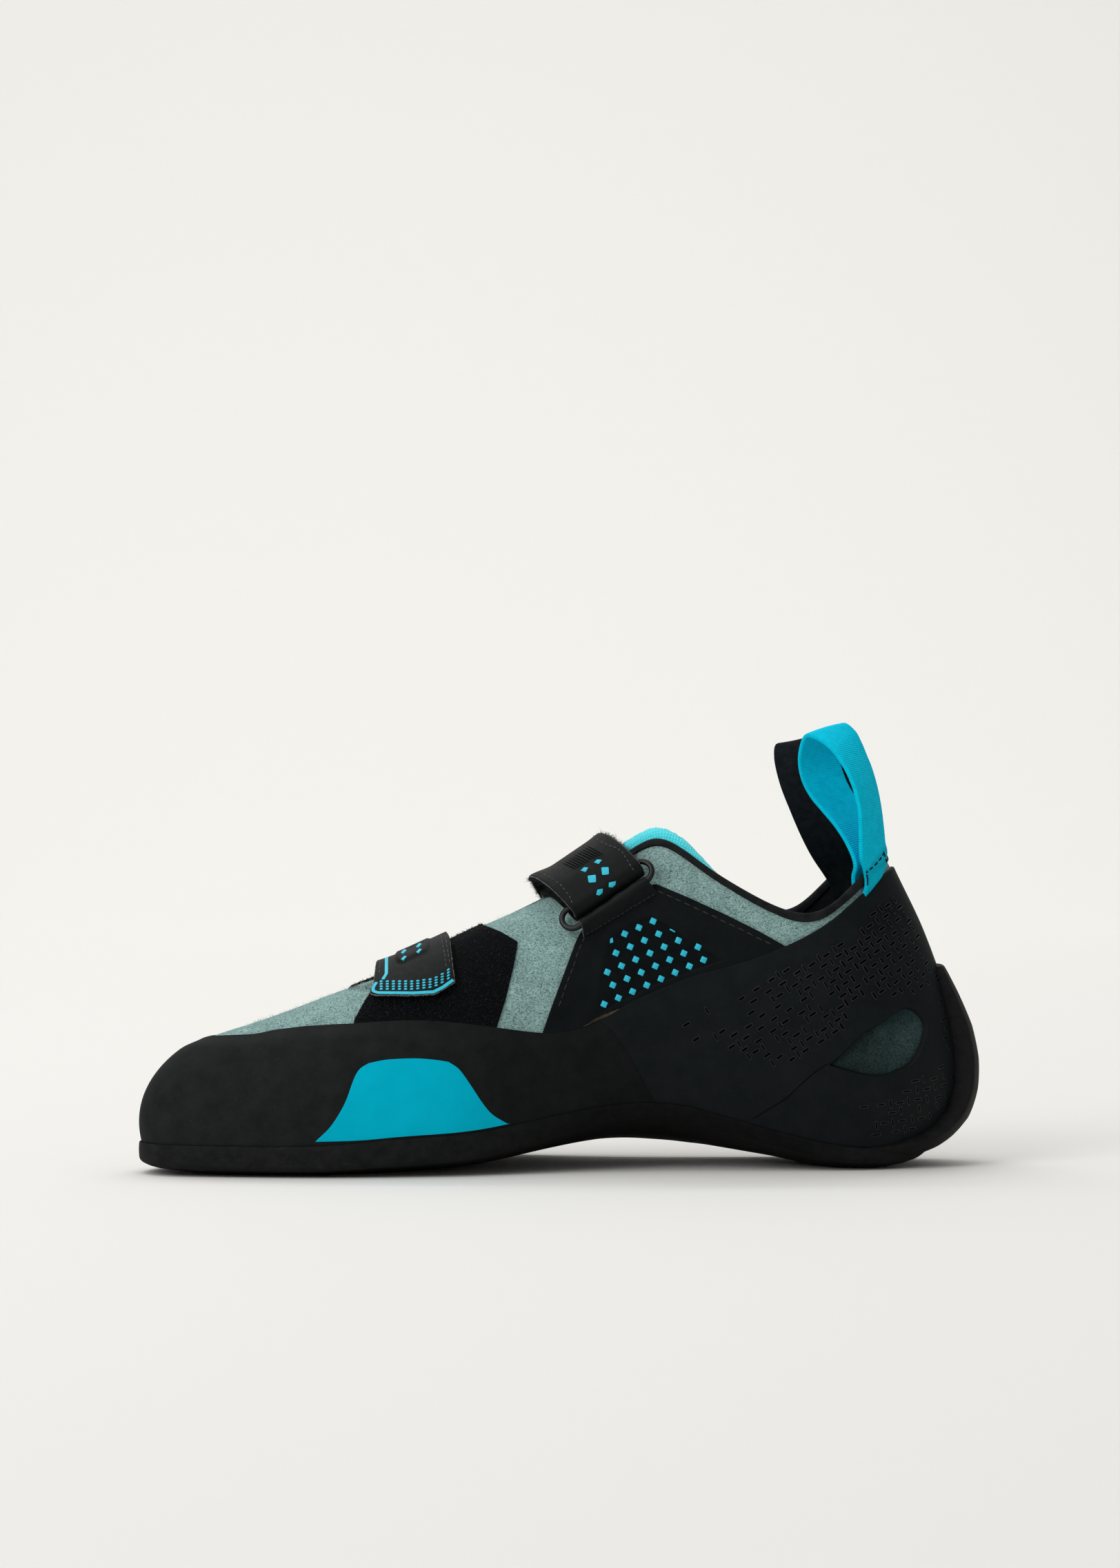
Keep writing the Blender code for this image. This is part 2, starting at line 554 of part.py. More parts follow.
def build_ring(into):
    gap = RING_LOWER_BAR - RING_UPPER_BAR
    height = np.linalg.norm(gap) / 2
    middle = (RING_UPPER_BAR + RING_LOWER_BAR) / 2
    axis = gap / np.linalg.norm(gap)
    straight = RING_LENGTH / 2 - height - RING_BAR
    outline = []
    for side, start in ((1, 0.0), (-1, math.pi)):
        for a in np.linspace(start, start + math.pi, 9):
            outline.append((side * straight + height * math.sin(a), height * math.cos(a)))
    data = bpy.data.curves.new("strap_ring", "CURVE")
    data.dimensions = "3D"
    data.bevel_depth = RING_BAR * MM
    data.bevel_resolution = 2
    line = data.splines.new("POLY")
    line.points.add(len(outline) - 1)
    for at, (along, down) in zip(line.points, outline):
        y, n = middle + axis * down
        p = (strap_space(y, n, RING_MIDDLE + along) - CENTRE) * MM
        at.co = (*p, 1)
    line.use_cyclic_u = True
    made = bpy.data.objects.new("strap_ring", data)
    into.objects.link(made)
    data.materials.append(material("plastic"))


def build_tab(into):
    axis = (RING_UPPER_BAR - RING_LOWER_BAR) / np.linalg.norm(RING_UPPER_BAR - RING_LOWER_BAR)
    out = np.array((axis[1], -axis[0]))
    radius = RING_BAR + GAP + TAB / 2 + 0.1
    over = [tuple(RING_LOWER_BAR + radius * (math.cos(a) * -out + math.sin(a) * axis)) for a in np.linspace(0, math.pi, 9)]
    path = np.array(list(TAB_UNDER) + over + list(TAB_OVER))
    path = smooth_path(np.c_[path, path[:, :1] * 0], 30)[:, :2]
    line = np.array([strap_space(y, n, RING_MIDDLE) for y, n in path])
    ribbon("ring_tab", line, np.tile(STRAP_ALONG * TAB_WIDTH / 2, (len(line), 1)), TAB, into, "strap")


def build_lower_strap(into):
    ribs = np.linspace(*HOOK_RIBS, 7)
    across = np.linspace(0, 1, 7)
    ends = np.array([climb_to(s, np.interp(k, (0, 0.7, 1), (HOOK_END_Z[0], HOOK_END_Z[0], HOOK_END_Z[1]))) for s, k in zip(ribs, across)])
    medial, lateral = 9, 14
    points = []
    for s, k, end in zip(ribs, across, ends):
        crest = np.interp(k, (0, 1), (4.9, 2.3))
        sewn = climb_to(ROUND - s, HOOK_SEWN_Z)
        spine = facing(np.array(s), np.array(1.0)) + facing(np.array(ROUND - s), np.array(1.0))
        spine /= np.linalg.norm(spine)
        for t in np.linspace(0, 1, medial):
            v, out = end + (1 - end) * t, 2.5 + (crest - 2.5) * t**1.2
            if t == 1:
                points.append(wall(np.array(s), np.array(1.0)) + spine * crest)
            else:
                points.append(skin(np.array(s), np.array(v), np.array(out)))
        for t in np.linspace(0, 1, lateral)[1:]:
            v, out = 1 + (sewn - 1) * t, crest + (0.7 - crest) * min(1, t * 1.25) ** 1.3
            points.append(skin(np.array(ROUND - s), np.array(v), np.array(out)))
    made = mesh("lower_strap", points, grid(len(ribs), medial + lateral - 1), into, "strap")
    thicken(made, HOOK_STRAP, 1)


def build_loop(name, rows, rib, side, into, surface):
    """A webbing loop sewn outside and inside the collar at a rib."""
    rib = rib if side > 0 else ROUND - rib
    slope = wall(np.array(rib - 1), np.array(0.95)) - wall(np.array(rib + 1), np.array(0.95))
    slope = slope * side
    angle = math.degrees(math.atan2(slope[1], slope[0]))
    outside = [skin(np.array(rib), np.array(v), np.array(GAP + WEBBING / 2 + 0.5)) for v in (0.975, 0.995)]
    inside = [skin(np.array(rib), np.array(v), np.array(-(UPPER_WALL + GAP + WEBBING / 2 + 2.2))) for v in (0.985, 0.91)]
    path = [(*p, angle, dip) for p, dip in zip(outside, (-0.72, -0.6))]
    path += [(*row, 0.0) for row in rows] + [(*p, angle, 0.0) for p in inside]
    path = smooth_path(path, 40)
    a = np.radians(path[:, 3])
    widths = np.stack([np.cos(a), np.sin(a), path[:, 4]], 1) * LOOP_WIDTH / 2
    ribbon(name, path[:, :3], widths, WEBBING, into, surface)


def main():
    clear()
    parts, helpers = collection(OBJECT), collection("cutters")
    build_outsole(parts, helpers)
    build_insole(parts)
    build_upper(parts)
    build_tongue(parts)
    build_rands(parts, helpers)
    build_lower_strap(parts)
    build_upper_strap(parts)
    build_ring(parts)
    build_tab(parts)
    build_loop("pull_loop_medial", LOOP_MEDIAL, LOOP_RIB, 1, parts, "turquoise_webbing")
    build_loop("pull_loop_lateral", LOOP_LATERAL, LOOP_RIB, -1, parts, "black_webbing")
    for helper in helpers.objects:
        helper.hide_render = True
        helper.display_type = "WIRE"


main()
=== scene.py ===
"""Looks of the right climbing shoe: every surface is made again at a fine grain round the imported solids.

The shoe's own functions are repeated here from its source: wall(s, v) is the outside of the upper, s running round the foot
from the toe tip by the medial side, and v climbing from the feather edge to the spine, throat or collar. Sizes are in
millimetres until piece() scales them. Marks on the medial side are placed by their place in the picture's frame.
"""

import math

import bmesh
import bpy
import numpy as np
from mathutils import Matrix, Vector


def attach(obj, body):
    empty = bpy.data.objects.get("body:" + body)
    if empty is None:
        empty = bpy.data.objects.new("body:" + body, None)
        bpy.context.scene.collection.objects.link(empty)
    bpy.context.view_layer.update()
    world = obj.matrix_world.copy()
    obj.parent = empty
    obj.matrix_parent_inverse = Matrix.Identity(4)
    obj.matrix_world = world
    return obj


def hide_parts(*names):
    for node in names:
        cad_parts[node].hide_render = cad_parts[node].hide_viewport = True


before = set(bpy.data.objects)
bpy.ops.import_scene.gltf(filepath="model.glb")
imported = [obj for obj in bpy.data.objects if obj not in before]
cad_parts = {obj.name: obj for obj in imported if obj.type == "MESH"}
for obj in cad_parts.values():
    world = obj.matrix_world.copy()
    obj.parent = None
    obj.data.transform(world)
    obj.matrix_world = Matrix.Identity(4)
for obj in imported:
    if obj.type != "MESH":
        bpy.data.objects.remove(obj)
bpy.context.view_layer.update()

MM = 0.001
CENTRE = np.array((0.05, -1.95, 0.0))

# Main sizes
UPPER_WALL = 1.8
GAP = 0.5
RAND = 1.4
HEEL_STRIP = 4.4
INSOLE = 1.8
STRAP = 1.8
HOOK_STRAP = 2.2
TAB = 1.2
WEBBING = 1.5
TONGUE = 3.6

# One row for each rib pair of the last, toe to heel. top_* is the spine, throat or collar; med_* and lat_* the two sides.
# foot x, y, z is the feather edge, turn the way the side faces in plan, foot_out and foot_up the pull of the wall at the
# feather, top_out and top_up the pull at the top.
LAST_COLUMNS = (
    "name", "top_x", "med_top_y", "med_top_z", "lat_top_y", "lat_top_z",
    "med_x", "med_y", "med_z", "med_turn", "med_foot_out", "med_foot_up", "med_top_out", "med_top_up",
    "lat_x", "lat_y", "lat_z", "lat_turn", "lat_foot_out", "lat_foot_up", "lat_top_out", "lat_top_up",
)
LAST = (
    ("toe_tip", 108, 14, 43.3, 14, 43.3, 131.0, 15.5, 10.0, 0, 4, 15, 16, -6, 131.0, 15.5, 10.0, 0, 4, 15, 16, -6),
    ("toe_corner", 105, 13.6, 44.3, 13.6, 44.3, 126.6, 27, 10, 34, 4, 15, 15, -3.4, 125.6, 0.6, 10, -38, 4, 15, 15, -3.4),
    ("toe_side", 98, 13, 46.4, 13, 46.4, 113, 33.8, 10, 68, 4, 17, 14, -1.2, 111, -14, 9.8, -56, 4.5, 16, 17, -1.6),
    ("toes", 86, 12, 50.2, 12, 50.2, 95, 37.8, 9.9, 83, 4, 19, 15, -0.3, 92, -28, 9.6, -63, 5, 17, 22, -0.8),
    ("ball_front", 70, 10, 56.4, 10, 56.4, 74, 40.2, 10.4, 90, 4, 22, 18, 0, 70, -38.5, 9.6, -76, 5, 18, 27, -1),
    ("ball", 52, 8, 63, 8, 63, 53, 40.2, 12.2, 93, 4, 24, 20, 0, 45, -44, 10, -88, 5, 20, 30, 0),
    ("ball_rear", 34, 5, 72.6, 5, 72.6, 31, 37, 13.6, 98, 4, 26, 20, 0, 22, -43.5, 11.5, -97, 5, 22, 30, 0),
    ("throat_front", 16, 2, 80.6, 2, 80.6, 11, 31, 17, 100, 4.5, 28, 19, 0, 1, -40, 14, -100, 5, 26, 26, 0),
    ("throat_mid", -4, 4.5, 89.8, -8, 89.5, -10, 26.8, 20.8, 95, 5, 30, 17, -4, -17, -36.5, 16.5, -98, 5, 28, 19, -6),
    ("throat_top", -22, 9.5, 100.8, -13.5, 96.5, -27, 24.8, 22, 91, 5.5, 30, 14, -14, -33, -33.2, 16.6, -94, 5, 28, 15, -16),
    ("collar_peak", -31, 13, 104.4, -17, 99, -38, 24.3, 20.8, 90, 6, 30, 12, -20, -44, -31.6, 15.6, -93, 5, 28, 12, -20),
    ("collar_front", -43, 18.3, 97.4, -21.5, 94, -50, 24.6, 17.6, 90, 6, 28, 9, -24, -55, -30.2, 13.6, -92, 5, 27, 9, -22),
    ("collar_side", -58, 23.6, 87.6, -26, 86, -66, 25.2, 13, 91, 6.5, 24, 6, -24, -70, -28.6, 10.6, -93, 6, 24, 6, -22),
    ("collar_low", -78, 26.5, 81.2, -27.5, 81.2, -87, 25.2, 8.2, 100, 7.5, 18, 5, -26, -88, -26, 8.2, -100, 7, 18, 5, -24),
    ("collar_rear", -92, 20.5, 90, -20.5, 93.6, -103, 20.8, 7.4, 122, 12, 14, 9.5, -32, -103, -20.8, 7.4, -122, 12, 14, 9.5, -32),
    ("heel_side", -101, 10.5, 97.2, -10.5, 98.6, -112, 11.8, 7.8, 152, 19, 12, 16, -38, -112, -11.8, 7.8, -152, 19, 12, 16, -38),
    ("heel_back", -104, 0, 100, 0, 100, -115.5, 0, 8.2, 180, 22.5, 11, 19, -40, -115.5, 0, 8.2, -180, 22.5, 11, 19, -40),
)

# Depth of the sole's edge on each side and how far its middle bulges below the edges, at the same ribs.
SOLE_COLUMNS = ("med_edge", "lat_edge", "dome")
SOLE = (
    (6.0, 6.0, 0.3), (7.0, 6.8, 1.2), (7.4, 7.2, 2.6), (7.4, 7.2, 3.4), (7.8, 7.2, 3.8), (8.2, 7.2, 4.0),
    (8.0, 7.4, 3.6), (7.2, 7.2, 3.2), (5.8, 7.6, 3.5), (5.0, 8.2, 4.0), (5.0, 8.2, 4.0), (5.2, 7.4, 3.6),
    (5.2, 6.2, 3.2), (4.6, 4.8, 3.8), (4.2, 4.2, 3.8), (3.6, 3.6, 2.0), (3.2, 3.2, 0.3),
)

# Top edge of the rubber on the upper: height of each edge at a place along the shoe.
RAND_TOP_COLUMNS = ("x", "medial", "lateral")
RAND_TOP = (
    (140, 41.5, 41.5), (112, 41.5, 41.5), (100, 43.0, 42.0), (85, 45.5, 42.0), (69, 46.5, 42.0), (50, 48.0, 42.0),
    (35, 47.2, 41.5), (20, 45.2, 40.5), (6, 43.2, 40.0), (0, 43.4, 40.5), (-8, 45.6, 43.0), (-20, 53.2, 48.0),
    (-40, 61.2, 56.0), (-60, 66.8, 63.5), (-72, 72.0, 71.0), (-83, 78.2, 78.2), (-93, 85.6, 86.0), (-105, 94.6, 94.6),
    (-120, 95.4, 95.4),
)

# Where the toe rand ends and the heel rand begins, as the rib at the sole and at the top edge.
SEAM_RIB = {"medial": (168.0, 150.0), "lateral": (172.0, 154.0)}

# Oval window of the heel rand in side view.
WINDOW_COLUMNS = ("x", "z", "half_long", "half_short", "tilt")
WINDOW = (-102.0, 38.0, 18.5, 8.4, -33.0)

# Heel strip of the sole: half width at a height.
STRIP_COLUMNS = ("z", "half_width")
STRIP = ((0, 12.0), (4, 14.0), (6.5, 19.0), (8, 20.5), (10, 19.5), (15, 16.2), (25, 13.2), (40, 12.0), (64, 10.6))
STRIP_TOP = 64.0

# The strap over the instep lies in a slanted plane: y across the shoe and n out from the instep, from STRAP_ORIGIN.
STRAP_ORIGIN = np.array((-1.6, 0.0, 99.0))
STRAP_ALONG = np.array((-0.829, 0.0, 0.559))
STRAP_OUT = np.array((0.559, 0.0, 0.829))
STRAP_WIDTH = 26.0
STRAP_DRIFT = 0.18
STRAP_COLUMNS = ("y", "n")
STRAP_UNDER = (
    (-35.0, -40.3), (-32.3, -31.0), (-30.0, -26.1), (-27.4, -21.4), (-24.3, -17.3), (-20.9, -13.9), (-17.2, -11.0),
    (-13.4, -8.7), (-8.6, -7.2), (-2.0, -6.0), (5.0, -6.5), (10.8, -8.4), (14.8, -12.0),
)
STRAP_OVER = (
    (19.2, -9.2), (15.2, -5.7), (9.4, -2.7), (2.0, -1.1), (-5.0, -1.7), (-11.5, -4.4), (-17.2, -8.2), (-22.0, -12.4),
    (-25.6, -16.2),
)
RING_UPPER_BAR = np.array((19.7, -14.5))
RING_LOWER_BAR = np.array((23.0, -20.7))
RING_MIDDLE = 3.6
RING_LENGTH = 35.6
RING_BAR = 1.3
TAB_WIDTH = 25.0
TAB_UNDER = ((24.6, -31.2), (23.4, -27.4))
TAB_OVER = ((25.4, -26.8), (26.6, -30.8))

# Lower strap: ribs of its two edges, height of its end on the medial side, and where it is sewn in on the lateral side.
HOOK_RIBS = (77.5, 106.5)
HOOK_END_Z = (56.6, 57.5)
HOOK_SEWN_Z = 45.5

# Pull loops: a row for each point of the path from the outside of the heel over the top to the inside.
# x, y, z from the collar on the medial side, then the width's direction in plan in degrees from the toe.
LOOP_COLUMNS = ("x", "y", "z", "turn")
LOOP_MEDIAL = (
    (-97.6, 18.9, 104, 49), (-96.2, 19.4, 114, 47), (-93.6, 18.8, 124, 42), (-89.6, 16.8, 133, 34), (-85.0, 13.2, 138.6, 27),
    (-80.4, 8.6, 138.4, 27), (-79.2, 5.6, 131, 32), (-81.2, 4.6, 121, 40), (-85.6, 6.2, 111, 46), (-90.4, 9.0, 102, 49),
)
LOOP_LATERAL = (
    (-96.4, -19.0, 104, -49), (-93.0, -19.8, 114, -46), (-88.0, -19.6, 123, -40), (-82.2, -17.8, 130, -32), (-76.8, -14.2, 134, -26),
    (-73.0, -9.4, 132.6, -26), (-73.6, -6.2, 125, -32), (-77.6, -5.4, 116, -40), (-83.4, -6.8, 108, -46), (-89.2, -9.2, 101, -49),
)
LOOP_WIDTH = 14.5
LOOP_RIB = 250.6

ROWS = {name: np.array([row[i] for row in LAST]) for i, name in enumerate(LAST_COLUMNS)}


def periodic_spline(knots, values, period):
    """The smooth closed curve through values at knots, as a function."""
    n = len(knots)
    h = np.diff(np.append(knots, knots[0] + period))
    d = (np.roll(values, -1) - values) / h
    a, r = np.zeros((n, n)), np.zeros(n)
    for i in range(n):
        a[i, (i - 1) % n] += h[i - 1]
        a[i, i] += 2 * (h[i - 1] + h[i])
        a[i, (i + 1) % n] += h[i]
        r[i] = 6 * (d[i] - d[i - 1])
    m = np.linalg.solve(a, r)

    def at(q):
        u = np.asarray(q, float) % period
        i = np.clip(np.searchsorted(knots, u, side="right") - 1, 0, n - 1)
        j = (i + 1) % n
        p, w = u - knots[i], knots[i] + h[i] - u
        return (m[i] * w**3 + m[j] * p**3) / (6 * h[i]) + (values[i] / h[i] - m[i] * h[i] / 6) * w + (values[j] / h[i] - m[j] * h[i] / 6) * p

    return at


def round_the_foot(column):
    """A column's medial rows toe to heel, then its lateral rows back to the toe."""
    lateral = ROWS["lat_" + column][1:-1][::-1].astype(float)
    if column == "turn":
        lateral = lateral + 360
    return np.concatenate([ROWS["med_" + column].astype(float), lateral])


FOOT = np.stack([round_the_foot(c) for c in ("x", "y", "z")], 1)
TOP = np.stack([np.concatenate([ROWS["top_x"].astype(float), ROWS["top_x"][1:-1][::-1].astype(float)]), round_the_foot("top_y"), round_the_foot("top_z")], 1)
CHORD = 0.65 * np.linalg.norm(np.roll(FOOT, -1, 0) - FOOT, axis=1) + 0.35 * np.linalg.norm(np.roll(TOP, -1, 0) - TOP, axis=1)
CHORD = 0.5 * (CHORD + CHORD[::-1])
KNOTS = np.concatenate([[0], np.cumsum(CHORD)])[:-1]
ROUND = CHORD.sum()
HEEL = ROUND / 2
THROAT = KNOTS[list(ROWS["name"]).index("throat_front")]
FOOT_AT = [periodic_spline(KNOTS, FOOT[:, i], ROUND) for i in range(3)]
TOP_AT = [periodic_spline(KNOTS, TOP[:, i], ROUND) for i in range(3)]
TURN_AT = periodic_spline(KNOTS, round_the_foot("turn") - 360 * KNOTS / ROUND, ROUND)
PULL_AT = {c: periodic_spline(KNOTS, round_the_foot(c), ROUND) for c in ("foot_out", "foot_up", "top_out", "top_up")}


def turn(s):
    """Unit vector in plan that the side faces at rib s."""
    u = np.asarray(s, float) % ROUND
    a = np.radians(TURN_AT(u) + 360 * u / ROUND)
    return np.stack([np.cos(a), np.sin(a), 0 * a], -1)


def foot(s):
    return np.stack([f(s) for f in FOOT_AT], -1)


def top(s):
    """The spine, throat or collar. The two sides share one spine ahead of the throat."""
    s = np.asarray(s, float) % ROUND
    here = np.stack([f(s) for f in TOP_AT], -1)
    across = np.stack([f((ROUND - s) % ROUND) for f in TOP_AT], -1)
    closed = (np.minimum(s, ROUND - s) <= THROAT + 1e-9)[..., None]
    return np.where(closed, 0.5 * (here + across), here)


def wall(s, v):
    """Outside of the upper at rib s and climb v."""
    s, v = np.broadcast_arrays(np.asarray(s, float), np.asarray(v, float))
    out, up = turn(s), np.array((0, 0, 1.0))
    pull = {c: f(s)[..., None] for c, f in PULL_AT.items()}
    a, d = foot(s), top(s)
    b = a + out * pull["foot_out"] + up * pull["foot_up"]
    c = d + out * pull["top_out"] + up * pull["top_up"]
    v = v[..., None]
    w = 1 - v
    return a * w**3 + 3 * b * w * w * v + 3 * c * w * v * v + d * v**3


def facing(s, v):
    """Unit vector straight out of the upper."""
    s, v = np.broadcast_arrays(np.asarray(s, float), np.asarray(v, float))
    v = np.minimum(v, 0.999)
    n = np.cross(wall(s + 0.2, v) - wall(s - 0.2, v), wall(s, v + 1e-3) - wall(s, v - 1e-3))
    return n / np.linalg.norm(n, axis=-1, keepdims=True)


def skin(s, v, out):
    return wall(s, v) + facing(s, v) * np.asarray(out, float)[..., None]


def climb_to(s, height, out=0.0):
    """The v at which the surface reaches a height on rib s."""
    v = np.linspace(0, 1, 161)
    z = skin(np.full_like(v, s), v, np.full_like(v, out))[:, 2]
    first = np.argmax(z >= height) if (z >= height).any() else len(v) - 1
    if first == 0:
        return 0.0
    return float(v[first - 1] + (v[first] - v[first - 1]) * np.clip((height - z[first - 1]) / max(z[first] - z[first - 1], 1e-6), 0, 1))


def rubber_edge(s):
    """The v of the rubber's top edge on rib s."""
    s = s % ROUND
    xs = np.array([row[0] for row in RAND_TOP])[::-1]
    zs = np.array([row[1 if s <= HEEL else 2] for row in RAND_TOP])[::-1]
    v = np.linspace(0.02, 0.995, 160)
    p = wall(np.full_like(v, s), v)
    over = p[:, 2] >= np.interp(p[:, 0], xs, zs)
    return float(v[np.argmax(over)]) if over.any() else 0.995


# The picture: a level camera, 4 degrees round to the toe from square on to the medial side.

FRAME_W, FRAME_H = 1624, 2274
LENS, SENSOR = 100.0, 36.0
FOCAL = LENS / SENSOR * FRAME_H
VIEW = math.radians(4)
AWAY = 1394.0
EYE_HEIGHT = 122.0
TOWARD = np.array((math.sin(VIEW), math.cos(VIEW), 0.0))
ACROSS = np.array((-math.cos(VIEW), math.sin(VIEW), 0.0))


def picture(p):
    """Place of points in the picture's frame."""
    p = np.asarray(p, float)
    deep = AWAY - p @ TOWARD
    return np.stack([FRAME_W / 2 + (p @ ACROSS) * FOCAL / deep, FRAME_H / 2 - (p[..., 2] - EYE_HEIGHT) * FOCAL / deep], -1)


def from_picture(place, deep):
    """The point seen at a place in the picture, deep millimetres from the shoe's middle toward the camera."""
    place, deep = np.asarray(place, float), np.asarray(deep, float)
    k = (AWAY - deep) / FOCAL
    flat = TOWARD * deep[..., None] + ACROSS * ((place[..., 0] - FRAME_W / 2) * k)[..., None]
    flat[..., 2] = EYE_HEIGHT - (place[..., 1] - FRAME_H / 2) * k
    return flat


class Surface:
    """A surface given by a function of two numbers, with a way back from the picture to those numbers."""

    def __init__(self, shape, a_range, b_range, steps=(160, 60)):
        self.shape, self.a_range, self.b_range = shape, a_range, b_range
        a, b = np.meshgrid(np.linspace(*a_range, steps[0]), np.linspace(*b_range, steps[1]), indexing="ij")
        self.a, self.b = a.ravel(), b.ravel()
        points = shape(a, b)
        normal = self.normal(a, b)
        eye = TOWARD * AWAY + np.array((0, 0, EYE_HEIGHT))
        front = ((eye - points) * normal).sum(-1) > 0
        self.seen = np.where(front[..., None], picture(points), 1e6).reshape(-1, 2)
        self.ea = (a_range[1] - a_range[0]) * 1e-3
        self.eb = (b_range[1] - b_range[0]) * 1e-3

    def find(self, places):
        q = np.asarray(places, float)
        shape = q.shape[:-1]
        q = q.reshape(-1, 2)
        near = np.array([np.argmin(((self.seen - t) ** 2).sum(1)) for t in q])
        a, b = self.a[near].copy(), self.b[near].copy()
        for _ in range(10):
            here = picture(self.shape(a, b))
            da = (picture(self.shape(a + self.ea, b)) - here) / self.ea
            db = (picture(self.shape(a, b + self.eb)) - here) / self.eb
            det = da[:, 0] * db[:, 1] - da[:, 1] * db[:, 0]
            det = np.where(np.abs(det) < 1e-9, 1e-9, det)
            e = q - here
            a = np.clip(a + np.clip((e[:, 0] * db[:, 1] - e[:, 1] * db[:, 0]) / det, -30 * self.ea, 30 * self.ea), *self.a_range)
            b = np.clip(b + np.clip((da[:, 0] * e[:, 1] - da[:, 1] * e[:, 0]) / det, -30 * self.eb, 30 * self.eb), *self.b_range)
        return a.reshape(shape), b.reshape(shape)

    def normal(self, a, b):
        ea = (self.a_range[1] - self.a_range[0]) * 1e-3
        eb = (self.b_range[1] - self.b_range[0]) * 1e-3
        n = np.cross(self.shape(a + ea, b) - self.shape(a - ea, b), self.shape(a, b + eb) - self.shape(a, b - eb))
        return n / np.maximum(np.linalg.norm(n, axis=-1, keepdims=True), 1e-12)

    def at(self, a, b, lift=0.0):
        return self.shape(a, b) + self.normal(a, b) * np.asarray(lift, float)[..., None]


def soft(x, low, high):
    t = np.clip((np.asarray(x, float) - low) / (high - low), 0, 1)
    return t * t * (3 - 2 * t)


def smooth_path(points, count):
    """Evenly spread points on the smooth open curve through the given ones."""
    p = np.asarray(points, float)
    ends = np.vstack([2 * p[0] - p[1], p, 2 * p[-1] - p[-2]])
    fine = []
    for k in range(1, len(ends) - 2):
        a, b, c, d = ends[k - 1 : k + 3]
        for t in np.linspace(0, 1, 24, endpoint=False):
            fine.append(0.5 * (2 * b + (c - a) * t + (2 * a - 5 * b + 4 * c - d) * t**2 + (3 * b - a - 3 * c + d) * t**3))
    fine = np.array(fine + [p[-1]])
    far = np.concatenate([[0], np.cumsum(np.linalg.norm(np.diff(fine[:, :3], axis=0), axis=1))])
    even = np.linspace(0, far[-1], count)
    return np.stack([np.interp(even, far, fine[:, i]) for i in range(p.shape[1])], 1)


def straight_path(points, count):
    """Evenly spread points on the straight runs through the given ones."""
    p = np.asarray(points, float)
    far = np.concatenate([[0], np.cumsum(np.linalg.norm(np.diff(p, axis=0), axis=1))])
    even = np.linspace(0, far[-1], count)
    return np.stack([np.interp(even, far, p[:, i]) for i in range(p.shape[1])], 1)


# Soft swells (+) and troughs (-) of the upper and what is glued on it: a run in the picture, half width and height.
CREASE_COLUMNS = ("run", "half_width", "height")
CREASES = (
    (((478, 1520), (490, 1545)), 7.0, 0.55),
    (((372, 1500), (366, 1540)), 5.0, -0.45),
    (((315, 1505), (300, 1540)), 7.0, 0.35),
    (((545, 1520), (640, 1512)), 6.0, 0.35),
    (((760, 1530), (800, 1585)), 7.0, -0.5),
    (((700, 1530), (715, 1580)), 6.0, 0.3),
    (((930, 1500), (960, 1560)), 9.0, -0.35),
    (((1080, 1530), (1075, 1600)), 9.0, 0.4),
    (((1000, 1480), (1010, 1560)), 7.0, 0.25),
    (((790, 1400), (765, 1470)), 4.0, -0.35),
    (((815, 1370), (800, 1420)), 3.0, 0.25),
    (((1050, 1310), (1090, 1335)), 4.0, -0.25),
    (((985, 1262), (1000, 1290)), 4.0, 0.25),
    (((420, 1485), (470, 1462)), 3.5, -0.3),
    (((385, 1484), (440, 1474)), 2.5, 0.2),
)
SIDE = Surface(lambda s, v: wall(s, v), (1.0, HEEL - 0.5), (0.002, 0.998))
CREASE_RUNS = []
for run, half, height in CREASES:
    a, b = SIDE.find(straight_path(run, 6))
    CREASE_RUNS.append((wall(a, b), half, height))


def relief(s, v):
    """Height of the swells and troughs at a place on the upper."""
    p = wall(s, v)
    total = np.zeros(p.shape[:-1])
    for line, half, height in CREASE_RUNS:
        near = np.full(p.shape[:-1], 1e9)
        for a, b in zip(line, line[1:]):
            d = b - a
            t = np.clip(((p - a) @ d) / (d @ d), 0, 1)
            near = np.minimum(near, ((p - a - t[..., None] * d) ** 2).sum(-1))
        total += height * np.exp(-near / (2 * (half / 1.6) ** 2))
    return total


def coat(s, v, out):
    """The upper's outside raised by out, with its swells and troughs."""
    s, v = np.broadcast_arrays(np.asarray(s, float), np.asarray(v, float))
    return skin(s, v, np.broadcast_to(out, s.shape) + relief(s, v))


# Meshes


